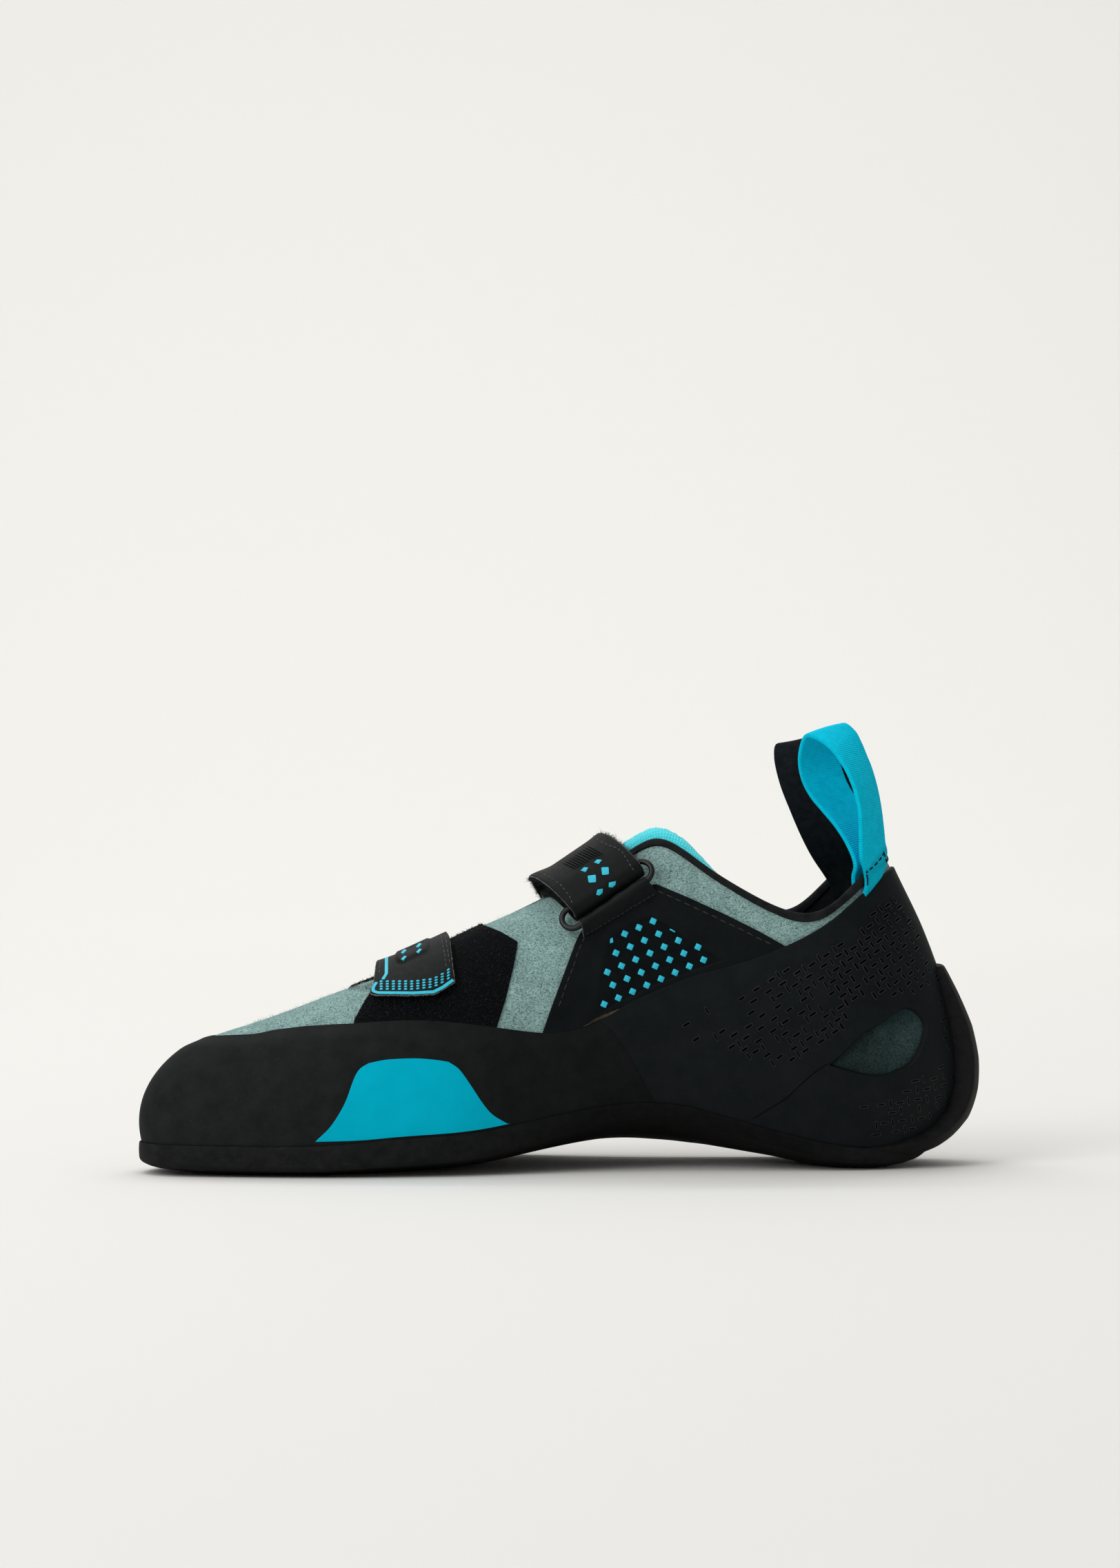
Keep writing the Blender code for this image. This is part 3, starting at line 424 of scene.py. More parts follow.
def piece(name, points, faces, materials, slot=None, stands_for=None, which=None, uv=None, weld=True, closed=True, sharp=55):
    """One shown piece: points in millimetres, faces, its materials, and for each face which of them."""
    data = bpy.data.meshes.new(name)
    p = (np.asarray(points, float) - CENTRE) * MM
    data.from_pydata(p.tolist(), [], [tuple(int(k) for k in f) for f in faces])
    for m in materials if isinstance(materials, (list, tuple)) else [materials]:
        data.materials.append(m)
    if which is not None:
        data.polygons.foreach_set("material_index", np.asarray(which, np.int32))
    if uv is not None:
        layer = data.uv_layers.new(name="cut")
        index = np.empty(len(data.loops), np.int32)
        data.loops.foreach_get("vertex_index", index)
        layer.data.foreach_set("uv", (np.asarray(uv, float)[index] * MM).astype(np.float32).ravel())
    if weld or closed:
        bm = bmesh.new()
        bm.from_mesh(data)
        if weld:
            bmesh.ops.remove_doubles(bm, verts=bm.verts, dist=2e-6)
            bmesh.ops.dissolve_degenerate(bm, edges=bm.edges, dist=1e-7)
            loose = [v for v in bm.verts if not v.link_faces]
            bmesh.ops.delete(bm, geom=loose, context="VERTS")
        if closed:
            bmesh.ops.recalc_face_normals(bm, faces=bm.faces)
        bm.to_mesh(data)
        bm.free()
    data.shade_smooth()
    data.set_sharp_from_angle(angle=math.radians(sharp))
    data.update()
    made = bpy.data.objects.new(name, data)
    bpy.context.scene.collection.objects.link(made)
    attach(made, "root")
    if stands_for:
        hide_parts(stands_for)
    return made


def grid(rows, columns, start=0, flip=False, ring=False):
    i, j = np.meshgrid(np.arange(rows if ring else rows - 1), np.arange(columns - 1), indexing="ij")
    a, b = i * columns + j, ((i + 1) % rows) * columns + j
    f = np.stack([a, b, b + 1, a + 1], -1).reshape(-1, 4) + start
    return f[:, ::-1] if flip else f


def rim(count, length, radius, steps=4):
    """Shares of a length, close together at both ends where the edge is rounded, and how far each lies below the top."""
    turn_by = np.linspace(0, math.pi / 2, steps)
    inset = radius * (1 - np.cos(turn_by)) / length
    drop = radius * (1 - np.sin(turn_by))
    inside = np.linspace(inset[-1], 1 - inset[-1], count)[1:-1]
    t = np.concatenate([[0], inset, inside, 1 - inset[::-1], [1]])
    return t, np.concatenate([[1e3], drop, 0 * inside, drop[::-1], [1e3]])


def slab(name, outer, inner, materials, uv=None, **kw):
    """A closed solid between two grids of points that meet at their borders."""
    rows, columns = outer.shape[:2]
    points = np.concatenate([outer.reshape(-1, 3), inner.reshape(-1, 3)])
    faces = np.concatenate([grid(rows, columns), grid(rows, columns, rows * columns, flip=True)])
    if uv is not None:
        uv = np.concatenate([uv.reshape(-1, 2), uv.reshape(-1, 2)])
    return piece(name, points, faces, materials, uv=uv, **kw)


def resample(values, rows, columns):
    """A coarse even grid read at finer shares of its rows and columns."""
    n, m = values.shape
    x, y = np.clip(rows, 0, 1) * (n - 1), np.clip(columns, 0, 1) * (m - 1)
    i, j = np.minimum(x.astype(int), n - 2), np.minimum(y.astype(int), m - 2)
    fx, fy = (x - i)[:, None], (y - j)[None, :]
    a, b = values[i][:, j], values[i + 1][:, j]
    c, d = values[i][:, j + 1], values[i + 1][:, j + 1]
    return (a * (1 - fx) + b * fx) * (1 - fy) + (c * (1 - fx) + d * fx) * fy


def quilt(surface, bottom, top_side, left, right, coarse=(46, 30), smooth=True):
    """Numbers of a surface over a four-sided patch of the picture. Sides run left to right and bottom to top."""
    path = smooth_path if smooth else straight_path
    n, m = coarse
    lo, hi, le, ri = path(bottom, n), path(top_side, n), path(left, m), path(right, m)
    a, b = np.linspace(0, 1, n)[:, None, None], np.linspace(0, 1, m)[None, :, None]
    flat = (
        (1 - b) * lo[:, None] + b * hi[:, None] + (1 - a) * le[None] + a * ri[None]
        - (1 - a) * (1 - b) * lo[0] - a * (1 - b) * lo[-1] - (1 - a) * b * hi[0] - a * b * hi[-1]
    )
    return surface.find(flat)


def join(groups):
    """Several (points, faces) as one."""
    points, faces, n = [], [], 0
    for p, f in groups:
        points.append(np.asarray(p, float))
        faces += [tuple(k + n for k in face) for face in f]
        n += len(p)
    return np.concatenate(points), faces


def pads(surface, outlines, height, sunk=0.12):
    """Small raised shapes on a surface, each an outline in the picture."""
    made = []
    for outline in outlines:
        a, b = surface.find(outline)
        n = len(outline)
        low, high = surface.at(a, b, -sunk), surface.at(a, b, height * 0.55)
        middle = np.array([a.mean(), b.mean()])
        ia, ib = middle[0] + (a - middle[0]) * 0.9, middle[1] + (b - middle[1]) * 0.9
        crown = surface.at(ia, ib, height)
        faces = [tuple(range(n - 1, -1, -1)), tuple(range(2 * n, 3 * n))]
        for k in range(n):
            q = (k + 1) % n
            faces += [(k, q, n + q, n + k), (n + k, n + q, 2 * n + q, 2 * n + k)]
        made.append((np.concatenate([low, high, crown]), faces))
    return join(made)


def square(x, y, size, turned, skew=0.0):
    """Corners of a rounded square in the picture."""
    c, s = math.cos(math.radians(turned)), math.sin(math.radians(turned))
    corners = []
    for u, w in ((-1, -0.84), (-0.84, -1), (0.84, -1), (1, -0.84), (1, 0.84), (0.84, 1), (-0.84, 1), (-1, 0.84)):
        u, w = (u + skew * w) * size / 2, w * size / 2
        corners.append((x + u * c - w * s, y + u * s + w * c))
    return corners[::-1]


def beads(lines, radius, sides=6, swell=1.0):
    """Short round threads, each along its own few points."""
    made = []
    for line in lines:
        line = np.asarray(line, float)
        n = len(line)
        run = np.gradient(line, axis=0)
        run /= np.maximum(np.linalg.norm(run, axis=1, keepdims=True), 1e-9)
        side = np.cross(run, np.array((0.31, 0.22, 0.92)))
        side /= np.maximum(np.linalg.norm(side, axis=1, keepdims=True), 1e-9)
        up = np.cross(side, run)
        angle = 2 * math.pi * np.arange(sides) / sides
        size = radius * np.interp(np.linspace(0, 1, n), (0, 0.18, 0.82, 1), (0.55, swell, swell, 0.55))
        rings = line[:, None] + size[:, None, None] * (np.cos(angle)[None, :, None] * side[:, None] + np.sin(angle)[None, :, None] * up[:, None])
        points = rings.reshape(-1, 3)
        faces = [tuple(range(sides - 1, -1, -1)), tuple((n - 1) * sides + k for k in range(sides))]
        for i in range(n - 1):
            for k in range(sides):
                q = (k + 1) % sides
                faces.append((i * sides + k, i * sides + q, (i + 1) * sides + q, (i + 1) * sides + k))
        made.append((points, faces))
    return join(made)


def stitch_lines(surface, run, length, gap, lift=0.16, smooth=True, seed=1):
    """Stitches on a surface along a run in the picture."""
    rng = np.random.default_rng(seed)
    far = np.linalg.norm(np.diff(np.asarray(run, float), axis=0), axis=1).sum()
    count = max(1, int(far / (length + gap)))
    path = (smooth_path if smooth else straight_path)(run, count * 12 + 1)
    lines = []
    for k in range(count):
        part = path[k * 12 : k * 12 + int(round(12 * length / (length + gap))) + 1]
        part = part + rng.normal(0, 0.25, 2)
        a, b = surface.find(straight_path(part, 5))
        lines.append(surface.at(a, b, np.array((-0.1, lift * 0.8, lift, lift * 0.8, -0.1))))
    return lines


def hairs(roots, normals, length, thick, rng, lean=0.8, segments=2):
    """Short bent fibres standing on a surface."""
    n = len(roots)
    lean_to = rng.normal(0, lean, (n, 3))
    d = normals + lean_to
    d /= np.linalg.norm(d, axis=1, keepdims=True)
    bend = rng.normal(0, 0.6, (n, 3))
    far = length * rng.uniform(0.4, 1.2, n)[:, None]
    steps = np.linspace(0, 1, segments + 1)
    line = roots[:, None] + d[:, None] * far[:, None] * steps[None, :, None] + bend[:, None] * far[:, None] * (steps**2)[None, :, None] * 0.6
    side = np.cross(d, rng.normal(0, 1, (n, 3)))
    side /= np.linalg.norm(side, axis=1, keepdims=True)
    other = np.cross(d, side)
    angle = 2 * math.pi * np.arange(3) / 3
    ring = np.cos(angle)[None, :, None] * side[:, None] + np.sin(angle)[None, :, None] * other[:, None]
    size = thick * (1 - 0.7 * steps)
    points = line[:, :, None] + ring[:, None] * size[None, :, None, None]
    per = (segments + 1) * 3
    one = []
    for i in range(segments):
        for k in range(3):
            q = (k + 1) % 3
            one.append((i * 3 + k, i * 3 + q, (i + 1) * 3 + q, (i + 1) * 3 + k))
    one = np.array(one)
    faces = (one[None] + (np.arange(n) * per)[:, None, None]).reshape(-1, 4)
    return points.reshape(-1, 3), faces
# Materials


class Look:
    """A Principled material whose colour, roughness and relief come from a few noises in millimetres."""

    def __init__(self, name, colour, rough, specular=0.3, **sockets):
        self.made = bpy.data.materials.new(name)
        self.made.use_nodes = True
        self.tree = self.made.node_tree
        self.shader = self.tree.nodes["Principled BSDF"]
        self.set("Base Color", (*colour, 1))
        self.set("Roughness", rough)
        self.set("Specular IOR Level", specular)
        for socket, value in sockets.items():
            self.set(socket, value)
        self.last_bump = None

    def set(self, socket, value):
        self.shader.inputs[socket].default_value = value

    def node(self, kind, **settings):
        made = self.tree.nodes.new(kind)
        for key, value in settings.items():
            setattr(made, key, value)
        return made

    def link(self, a, b):
        self.tree.links.new(a, b)

    def space(self, stretch=(1, 1, 1), turned=(0, 0, 0), flat=False):
        source = self.node("ShaderNodeTexCoord").outputs["UV" if flat else "Object"]
        mapping = self.node("ShaderNodeMapping")
        mapping.inputs["Scale"].default_value = tuple(1000.0 * k for k in stretch)
        mapping.inputs["Rotation"].default_value = tuple(math.radians(k) for k in turned)
        self.link(source, mapping.inputs["Vector"])
        return mapping.outputs["Vector"]

    def noise(self, size, detail=2.0, rough=0.5, space=None, distortion=0.0):
        made = self.node("ShaderNodeTexNoise")
        made.inputs["Scale"].default_value = 1.0 / size
        made.inputs["Detail"].default_value = detail
        made.inputs["Roughness"].default_value = rough
        made.inputs["Distortion"].default_value = distortion
        self.link(space or self.space(), made.inputs["Vector"])
        return made.outputs["Fac"]

    def cells(self, size, space=None, feature="F1"):
        made = self.node("ShaderNodeTexVoronoi", feature=feature)
        made.inputs["Scale"].default_value = 1.0 / size
        self.link(space or self.space(), made.inputs["Vector"])
        return made.outputs["Distance"]

    def wave(self, pitch, space, direction="X", distortion=0.0, profile="SIN"):
        made = self.node("ShaderNodeTexWave", bands_direction=direction, wave_profile=profile)
        made.inputs["Scale"].default_value = math.pi / 10 / pitch
        made.inputs["Distortion"].default_value = distortion
        made.inputs["Detail"].default_value = 1.0
        made.inputs["Detail Scale"].default_value = 2.0
        self.link(space, made.inputs["Vector"])
        return made.outputs["Fac"]

    def ramp(self, fac, *stops):
        made = self.node("ShaderNodeValToRGB")
        elements = made.color_ramp.elements
        elements[1].position, elements[0].position = stops[-1][0], stops[0][0]
        for at, _ in stops[1:-1]:
            elements.new(at)
        for e, (_, colour) in zip(elements, stops):
            e.color = (*colour, 1) if isinstance(colour, tuple) else (colour, colour, colour, 1)
        self.link(fac, made.inputs["Fac"])
        return made.outputs["Color"]

    def math(self, operation, a, b):
        made = self.node("ShaderNodeMath", operation=operation)
        for k, value in enumerate((a, b)):
            if isinstance(value, (int, float)):
                made.inputs[k].default_value = value
            else:
                self.link(value, made.inputs[k])
        return made.outputs[0]

    def mix(self, fac, a, b, kind="MIX"):
        made = self.node("ShaderNodeMix", data_type="RGBA", blend_type=kind)
        for socket, value in ((made.inputs[0], fac), (made.inputs[6], a), (made.inputs[7], b)):
            if isinstance(value, (int, float)):
                socket.default_value = value
            elif isinstance(value, tuple):
                socket.default_value = (*value, 1)
            else:
                self.link(value, socket)
        return made.outputs[2]

    def colour(self, source):
        self.link(source, self.shader.inputs["Base Color"])

    def roughness(self, source, low, high):
        made = self.node("ShaderNodeMapRange")
        made.inputs["To Min"].default_value = low
        made.inputs["To Max"].default_value = high
        self.link(source, made.inputs["Value"])
        self.link(made.outputs[0], self.shader.inputs["Roughness"])

    def bump(self, height, depth, strength=1.0):
        made = self.node("ShaderNodeBump")
        made.inputs["Distance"].default_value = depth * MM
        made.inputs["Strength"].default_value = strength
        self.link(height, made.inputs["Height"])
        if self.last_bump:
            self.link(self.last_bump, made.inputs["Normal"])
        self.last_bump = made.outputs["Normal"]
        self.link(self.last_bump, self.shader.inputs["Normal"])


def graded(k, tone, stops):
    """A colour made darker or paler along the shoe's length; on the rand and the sole this is painted light and shade.
    """
    split = k.node("ShaderNodeSeparateXYZ")
    k.link(k.space(), split.inputs[0])
    span = k.node("ShaderNodeMapRange")
    for socket, value in zip(("From Min", "From Max", "To Min", "To Max"), (-140.0, 140.0, 0.0, 1.0)):
        span.inputs[socket].default_value = value
    k.link(split.outputs["X"], span.inputs["Value"])
    return k.mix(1.0, tone, k.ramp(span.outputs[0], *[((x + 140.0) / 280.0, value) for x, value in stops]), "MULTIPLY")


def suede(name, deep, pale, sheen=0.25, grade=None):
    k = Look(name, pale, 0.95, 0.12)
    k.set("Sheen Weight", sheen)
    k.set("Sheen Roughness", 0.45)
    k.set("Sheen Tint", (*[min(1.0, 2.2 * c + 0.12) for c in pale], 1))
    clouds = k.noise(6.5, 3, 0.6)
    lay = k.space((1.0, 1.0, 1.4), (0, 28, 0))
    nap = k.noise(0.56, 3, 0.65, lay, 0.3)
    pits = k.noise(0.72, 2, 0.6, lay)
    base = k.mix(k.ramp(clouds, (0.3, 0.0), (0.72, 1.0)), deep, pale)
    speck = k.ramp(nap, (0.36, 0.5), (0.5, 1.0), (0.66, 1.4))
    hole = k.ramp(pits, (0.32, 0.42), (0.43, 1.0))
    tone = k.mix(1.0, k.mix(1.0, base, speck, "MULTIPLY"), hole, "MULTIPLY")
    if grade:
        tone = graded(k, tone, grade)
    k.colour(tone)
    k.bump(k.noise(2.6, 2, 0.5), 0.2, 0.7)
    k.bump(pits, 0.42, 0.9)
    k.bump(nap, 0.26, 1.0)
    return k.made


def rubber(name, dark, dusty, low=0.5, high=0.72, specular=0.22, mottle=7.0, grain=0.35, scuffs=0.0, dirt=0.5, grade=None):
    k = Look(name, dark, 0.6, specular)
    clouds = k.noise(mottle, 4, 0.62)
    fine = k.noise(grain, 2, 0.6)
    base = k.mix(k.ramp(clouds, (0.34, 0.0), (0.68, 1.0)), dark, dusty)
    dust = k.ramp(k.noise(0.7, 2, 0.7), (0.62, 0.0), (0.78, dirt))
    base = k.mix(dust, base, tuple(2.0 * c for c in dusty))
    if scuffs:
        streak = k.noise(1.1, 3, 0.7, k.space((0.12, 1, 1), (0, 12, 0)))
        base = k.mix(k.ramp(streak, (0.6, 0.0), (0.75, scuffs)), base, tuple(2.6 * c for c in dusty))
    if grade:
        base = graded(k, base, grade)
    k.colour(base)
    k.roughness(clouds, low, high)
    k.bump(clouds, 0.12, 0.6)
    k.bump(fine, 0.035, 0.7)
    return k.made


def cloth(name, dark, pale, pitch=0.5, rough=0.9, specular=0.12, depth=0.12):
    """A fine plain weave that needs no cut."""
    k = Look(name, dark, rough, specular)
    a = k.wave(pitch, k.space((1, 0.4, 1), (0, 35, 0)), "X")
    b = k.wave(pitch, k.space((1, 0.4, 1), (0, 35, 0)), "Z")
    weave = k.math("MULTIPLY", a, b)
    k.colour(k.mix(k.ramp(k.noise(3.0, 3), (0.3, 0.0), (0.7, 1.0)), dark, pale))
    k.bump(weave, depth, 0.8)
    k.bump(k.noise(0.4, 2), depth * 0.5, 0.6)
    return k.made


def webbing(name, dark, pale, pitch=0.62, sheen=0.0):
    """Ribbed narrow webbing: ribs across the length, fine yarns along it. Needs its cut."""
    k = Look(name, pale, 0.85, 0.06)
    flat = k.space(flat=True)
    ribs = k.wave(pitch, flat, "Y", 0.4)
    yarns = k.wave(0.9, flat, "X", 0.3)
    tone = k.mix(k.ramp(k.noise(2.2, 3, 0.6), (0.3, 0.0), (0.7, 1.0)), dark, pale)
    # The troughs between ribs are painted darker where the bump sinks them: painted shade.
    k.colour(k.mix(k.ramp(ribs, (0.0, 0.74), (0.55, 1.0)), (0, 0, 0), tone, "MIX"))
    if sheen:
        k.set("Sheen Weight", sheen)
        k.set("Sheen Roughness", 0.5)
    k.bump(yarns, 0.06, 0.5)
    k.bump(ribs, 0.10, 0.8)
    k.bump(k.noise(0.25, 2), 0.05, 0.6)
    return k.made


def leather(name, dark, pale, low=0.5, high=0.68, specular=0.3):
    """Smooth pressed synthetic with a fine pebble."""
    k = Look(name, dark, 0.6, specular)
    clouds = k.noise(6.0, 3, 0.6)
    pebble = k.cells(0.55)
    k.colour(k.mix(k.ramp(clouds, (0.3, 0.0), (0.7, 1.0)), dark, pale))
    k.roughness(k.noise(1.4, 2), low, high)
    k.bump(k.noise(3.5, 2), 0.12, 0.5)
    k.bump(pebble, 0.05, 0.5)
    return k.made


def knit(name, dark, pale):
    k = Look(name, pale, 0.88, 0.12)
    k.set("Sheen Weight", 0.3)
    k.set("Sheen Roughness", 0.5)
    flat = k.space(flat=True)
    columns = k.wave(0.85, flat, "X", 1.6)
    rows = k.wave(0.62, flat, "Y", 1.8)
    loops = k.math("MULTIPLY", columns, rows)
    k.colour(k.mix(k.ramp(k.mix(0.5, loops, k.noise(0.45, 3, 0.7)), (0.15, 0.0), (0.6, 1.0)), dark, pale))
    k.bump(loops, 0.24, 0.9)
    k.bump(k.noise(0.3, 3, 0.7), 0.16, 0.9)
    return k.made


def pile(name, dark, pale):
    k = Look(name, dark, 0.95, 0.1)
    tufts = k.noise(0.5, 3, 0.75)
    k.colour(k.mix(k.ramp(tufts, (0.5, 0.0), (0.7, 1.0)), dark, pale))
    k.bump(tufts, 0.6, 1.0)
    k.bump(k.noise(0.3, 2, 0.7), 0.2, 0.8)
    return k.made


def plain(name, dark, pale, rough=0.6, specular=0.3, size=0.8, depth=0.04):
    k = Look(name, dark, rough, specular)
    n = k.noise(size, 3, 0.6)
    k.colour(k.mix(k.ramp(n, (0.3, 0.0), (0.7, 1.0)), dark, pale))
    k.bump(n, depth, 0.7)
    return k.made


SUEDE = suede("sage_suede", (0.212, 0.340, 0.322), (0.290, 0.446, 0.424), 0.12)
SUEDE_FIBRE = plain("sage_fibre", (0.27, 0.37, 0.355), (0.42, 0.55, 0.53), 0.95, 0.1)
WINDOW_SUEDE = suede("deep_suede", (0.018, 0.040, 0.040), (0.044, 0.078, 0.076), 0.05, ((-119.0, 1.2), (-94.0, 0.42)))
# The toe rand's grade is painted light and shade: paler toward the toe where the light falls, darker toward the arch.
RAND_RUBBER = rubber("rand_rubber", (0.0080, 0.0094, 0.0094), (0.0134, 0.0147, 0.0142), 0.62, 0.8, 0.055, grade=((-30.0, 0.58), (2.0, 0.66), (42.0, 1.02), (125.0, 1.2)))
HEEL_RUBBER = rubber("heel_rubber", (0.0035, 0.0054, 0.0065), (0.0068, 0.0088, 0.0096), 0.55, 0.74, 0.09)
# The sole's grade is painted light and shade: its edge darkened under the arch as painted shade, paler at the toe as
# painted light.
SOLE_RUBBER = rubber("sole_rubber", (0.0058, 0.0065, 0.0066), (0.0120, 0.0126, 0.0121), 0.6, 0.8, 0.07, 4.0, 0.3, 0.3, grade=((-135.0, 0.95), (-96.0, 0.9), (-72.0, 0.5), (-4.0, 0.5), (34.0, 1.0), (130.0, 1.2)))
STRIP_RUBBER = rubber("strip_rubber", (0.0052, 0.0058, 0.0055), (0.0100, 0.0105, 0.0100), 0.58, 0.8, 0.10, 3.0, 0.3, 0.35)
PATCH_RUBBER = rubber("turquoise_rubber", (0.0, 0.41, 0.565), (0.0, 0.455, 0.63), 0.6, 0.75, 0.02, 12.0, 0.3, 0.0, 0.04)
# A near-black sheet for the slits and the cut line in the heel rubber: painted shade in the grooves.
SLIT_SHADE = plain("slit", (0.0006, 0.0006, 0.0006), (0.0012, 0.0012, 0.0012), 0.95, 0.03)
# Paler rubber for the lips round the slits: painted highlight where the lower lip catches the light.
LIP_HIGHLIGHT = plain("slit_lip_highlight", (0.0070, 0.0082, 0.0086), (0.0150, 0.0155, 0.0145), 0.5, 0.2)
GLUE = plain("glue_dust", (0.012, 0.010, 0.008), (0.085, 0.058, 0.036), 0.8, 0.12, 2.2, 0.08)
LINING = cloth("lining", (0.006, 0.0065, 0.007), (0.012, 0.0125, 0.013), 0.9)
BOARD = cloth("insole_cloth", (0.016, 0.016, 0.016), (0.032, 0.032, 0.030), 1.1)
BINDING = cloth("binding_cloth", (0.0055, 0.006, 0.0065), (0.014, 0.0155, 0.016), 0.45)
PANEL = leather("panel_synthetic", (0.0020, 0.0034, 0.0043), (0.0042, 0.0060, 0.0070), 0.56, 0.72, 0.08)
POCKET = cloth("pocket_cloth", (0.0022, 0.0036, 0.0045), (0.0045, 0.0062, 0.0072), 0.5, 0.85, 0.08)
STRAP_SKIN = leather("strap_synthetic", (0.0033, 0.0041, 0.0043), (0.0068, 0.0076, 0.0075), 0.5, 0.68, 0.10)
# The tab is the panel's own material made paler: painted light on the roll that turns toward the lamps.
TAB_LIT_SKIN = leather("tab_synthetic_lit", (0.0048, 0.0064, 0.0070), (0.0088, 0.0104, 0.0108), 0.5, 0.68, 0.12)
STRAP_BACK = pile("hook_back", (0.003, 0.003, 0.0035), (0.014, 0.014, 0.015))
LOOP_PILE = pile("loop_pile", (0.0008, 0.0010, 0.0014), (0.0090, 0.0110, 0.0135))
PILE_FIBRE = plain("pile_fibre", (0.003, 0.0036, 0.0045), (0.045, 0.049, 0.054), 0.8, 0.08, 0.5)
PRINT = plain("cyan_print", (0.012, 0.460, 0.620), (0.024, 0.540, 0.700), 0.45, 0.3, 1.0, 0.02)
THREAD = plain("dark_thread", (0.014, 0.015, 0.016), (0.042, 0.044, 0.045), 0.7, 0.15, 0.3)
STRAP_THREAD = plain("grey_thread", (0.030, 0.030, 0.029), (0.130, 0.128, 0.122), 0.8, 0.12, 0.4)
# Pale grey: the worn cut edges of the straps, and a painted highlight along the ring tab's front edge.
GREY_EDGE = plain("raw_edge_and_highlight", (0.055, 0.055, 0.053), (0.190, 0.187, 0.178), 0.9, 0.1, 0.9)
RING_PLASTIC = plain("ring_plastic", (0.0028, 0.0038, 0.0038), (0.0060, 0.0072, 0.0072), 0.34, 0.28, 3.0, 0.02)
TURQUOISE_WEB = webbing("turquoise_webbing", (0.0, 0.54, 0.76), (0.0, 0.64, 0.88), 0.66)
TEAL_WEB = webbing("teal_webbing_base", (0.0, 0.43, 0.60), (0.001, 0.54, 0.73), 0.66)
BLACK_WEB = webbing("black_webbing", (0.0042, 0.0060, 0.0074), (0.0102, 0.0130, 0.0150), 0.66)
LOOP_THREAD = plain("loop_thread", (0.002, 0.006, 0.008), (0.006, 0.018, 0.024), 0.7, 0.1, 0.3)
TONGUE_KNIT = knit("tongue_knit", (0.035, 0.64, 0.76), (0.130, 0.93, 0.98))
BROWN_FIBRE = plain("brown_fibre", (0.060, 0.045, 0.032), (0.14, 0.10, 0.07), 0.95, 0.1)
# The upper


def build_upper():
    front = THROAT * np.linspace(0, 1, 96) ** 1.3
    back = HEEL - (HEEL - THROAT) * np.linspace(1, 0, 104)[1:] ** 1.12
    half = np.concatenate([front, back])
    ribs = np.concatenate([half, (ROUND - half[1:-1])[::-1]])
    climbs = np.linspace(0, 1, 60)
    n, m = len(ribs), len(climbs)
    s, v = np.meshgrid(ribs, climbs, indexing="ij")
    outer, inner = coat(s, v, 0.0), skin(s, v, np.full(s.shape, -UPPER_WALL))
    for k in range(1, len(front)):
        for side in (outer, inner):
            middle = (side[k, -1] + side[n - k, -1]) / 2
            side[k, -1] = side[n - k, -1] = middle
    faces = [grid(n, m, ring=True), grid(n, m, n * m, flip=True, ring=True)]
    low = np.arange(n) * m
    nxt = (np.arange(n) + 1) % n * m
    rim_low = np.stack([low, low + n * m, nxt + n * m, nxt], -1)
    high, high_next = low + m - 1, nxt + m - 1
    open_rows = np.array([k for k in range(n) if len(front) - 1 <= k and (k + 1) <= n - (len(front) - 1)])
    rim_high = np.stack([high, high_next, high_next + n * m, high + n * m], -1)[open_rows]
    which = np.concatenate([np.zeros(len(faces[0])), np.ones(len(faces[1])), np.zeros(len(rim_low)), np.zeros(len(rim_high))])
    points = np.concatenate([outer.reshape(-1, 3), inner.reshape(-1, 3)])
    piece("upper_suede", points, np.concatenate(faces + [rim_low, rim_high]), [SUEDE, LINING], "suede", "upper", which)


# Rubber


def band(start, end, along, across):
    """Ribs and climbs of a rubber band between two slanted ends, each (rib at the sole, rib at the top edge)."""
    a = start[0] + (start[1] - start[0]) * across
    b = end[0] + (end[1] - end[0]) * across
    ribs = a[None, :] + (b - a)[None, :] * along[:, None]
    fine = np.linspace(ribs.min(), ribs.max(), 320)
    edge = np.array([rubber_edge(s) for s in fine])
    edge = np.convolve(np.pad(edge, 7, mode="edge"), np.ones(15) / 15, mode="valid")
    climbs = -0.014 + (np.interp(ribs, fine, edge) + 0.014) * across[None, :]
    return ribs, climbs


def rand_height(across, thin, full=GAP + RAND):
    """Outer height of a rand: full over most of it, skived to thin at its top edge."""
    return thin + (full - thin) * soft((1 - across) * 38, 0.3, 7.0)


def build_toe_rand():
    medial, lateral = SEAM_RIB["medial"], SEAM_RIB["lateral"]
    along, drop_a = rim(330, 340, 0.45)
    across, drop_b = rim(40, 38, 0.4)
    ribs, climbs = band((-lateral[0] - 1.2, -lateral[1] - 1.2), (medial[0] + 1.2, medial[1] + 1.2), along, across)
    lap = 0.2 * (1 - soft(np.minimum(along, 1 - along) * 340, 2.0, 16.0))
    out = np.maximum(0.05, rand_height(across, 1.0)[None, :] + lap[:, None] - np.minimum(np.maximum(drop_a[:, None], drop_b[None, :]), 50))
    slab("toe_rand_rubber", coat(ribs, climbs, out), coat(ribs, climbs, 0.05), RAND_RUBBER, slot="rand_rubber", stands_for="toe_rand")


HEEL_SKIN = Surface(lambda s, v: coat(s, v, GAP + RAND), (120.0, HEEL - 0.5), (0.004, 0.99))
WINDOW_OUTLINE = (
    (1203, 1545), (1220, 1550), (1250, 1558), (1275, 1561), (1300, 1555), (1325, 1540), (1340, 1515), (1346, 1490), (1342, 1475),
    (1330, 1463), (1315, 1460), (1300, 1468), (1280, 1482), (1250, 1500), (1225, 1525),
)


def ring_of(points, count):
    """Evenly spread points round a smooth closed outline that keeps a corner at its first point."""
    return smooth_path(list(points) + [points[0]], count + 1)[:-1]


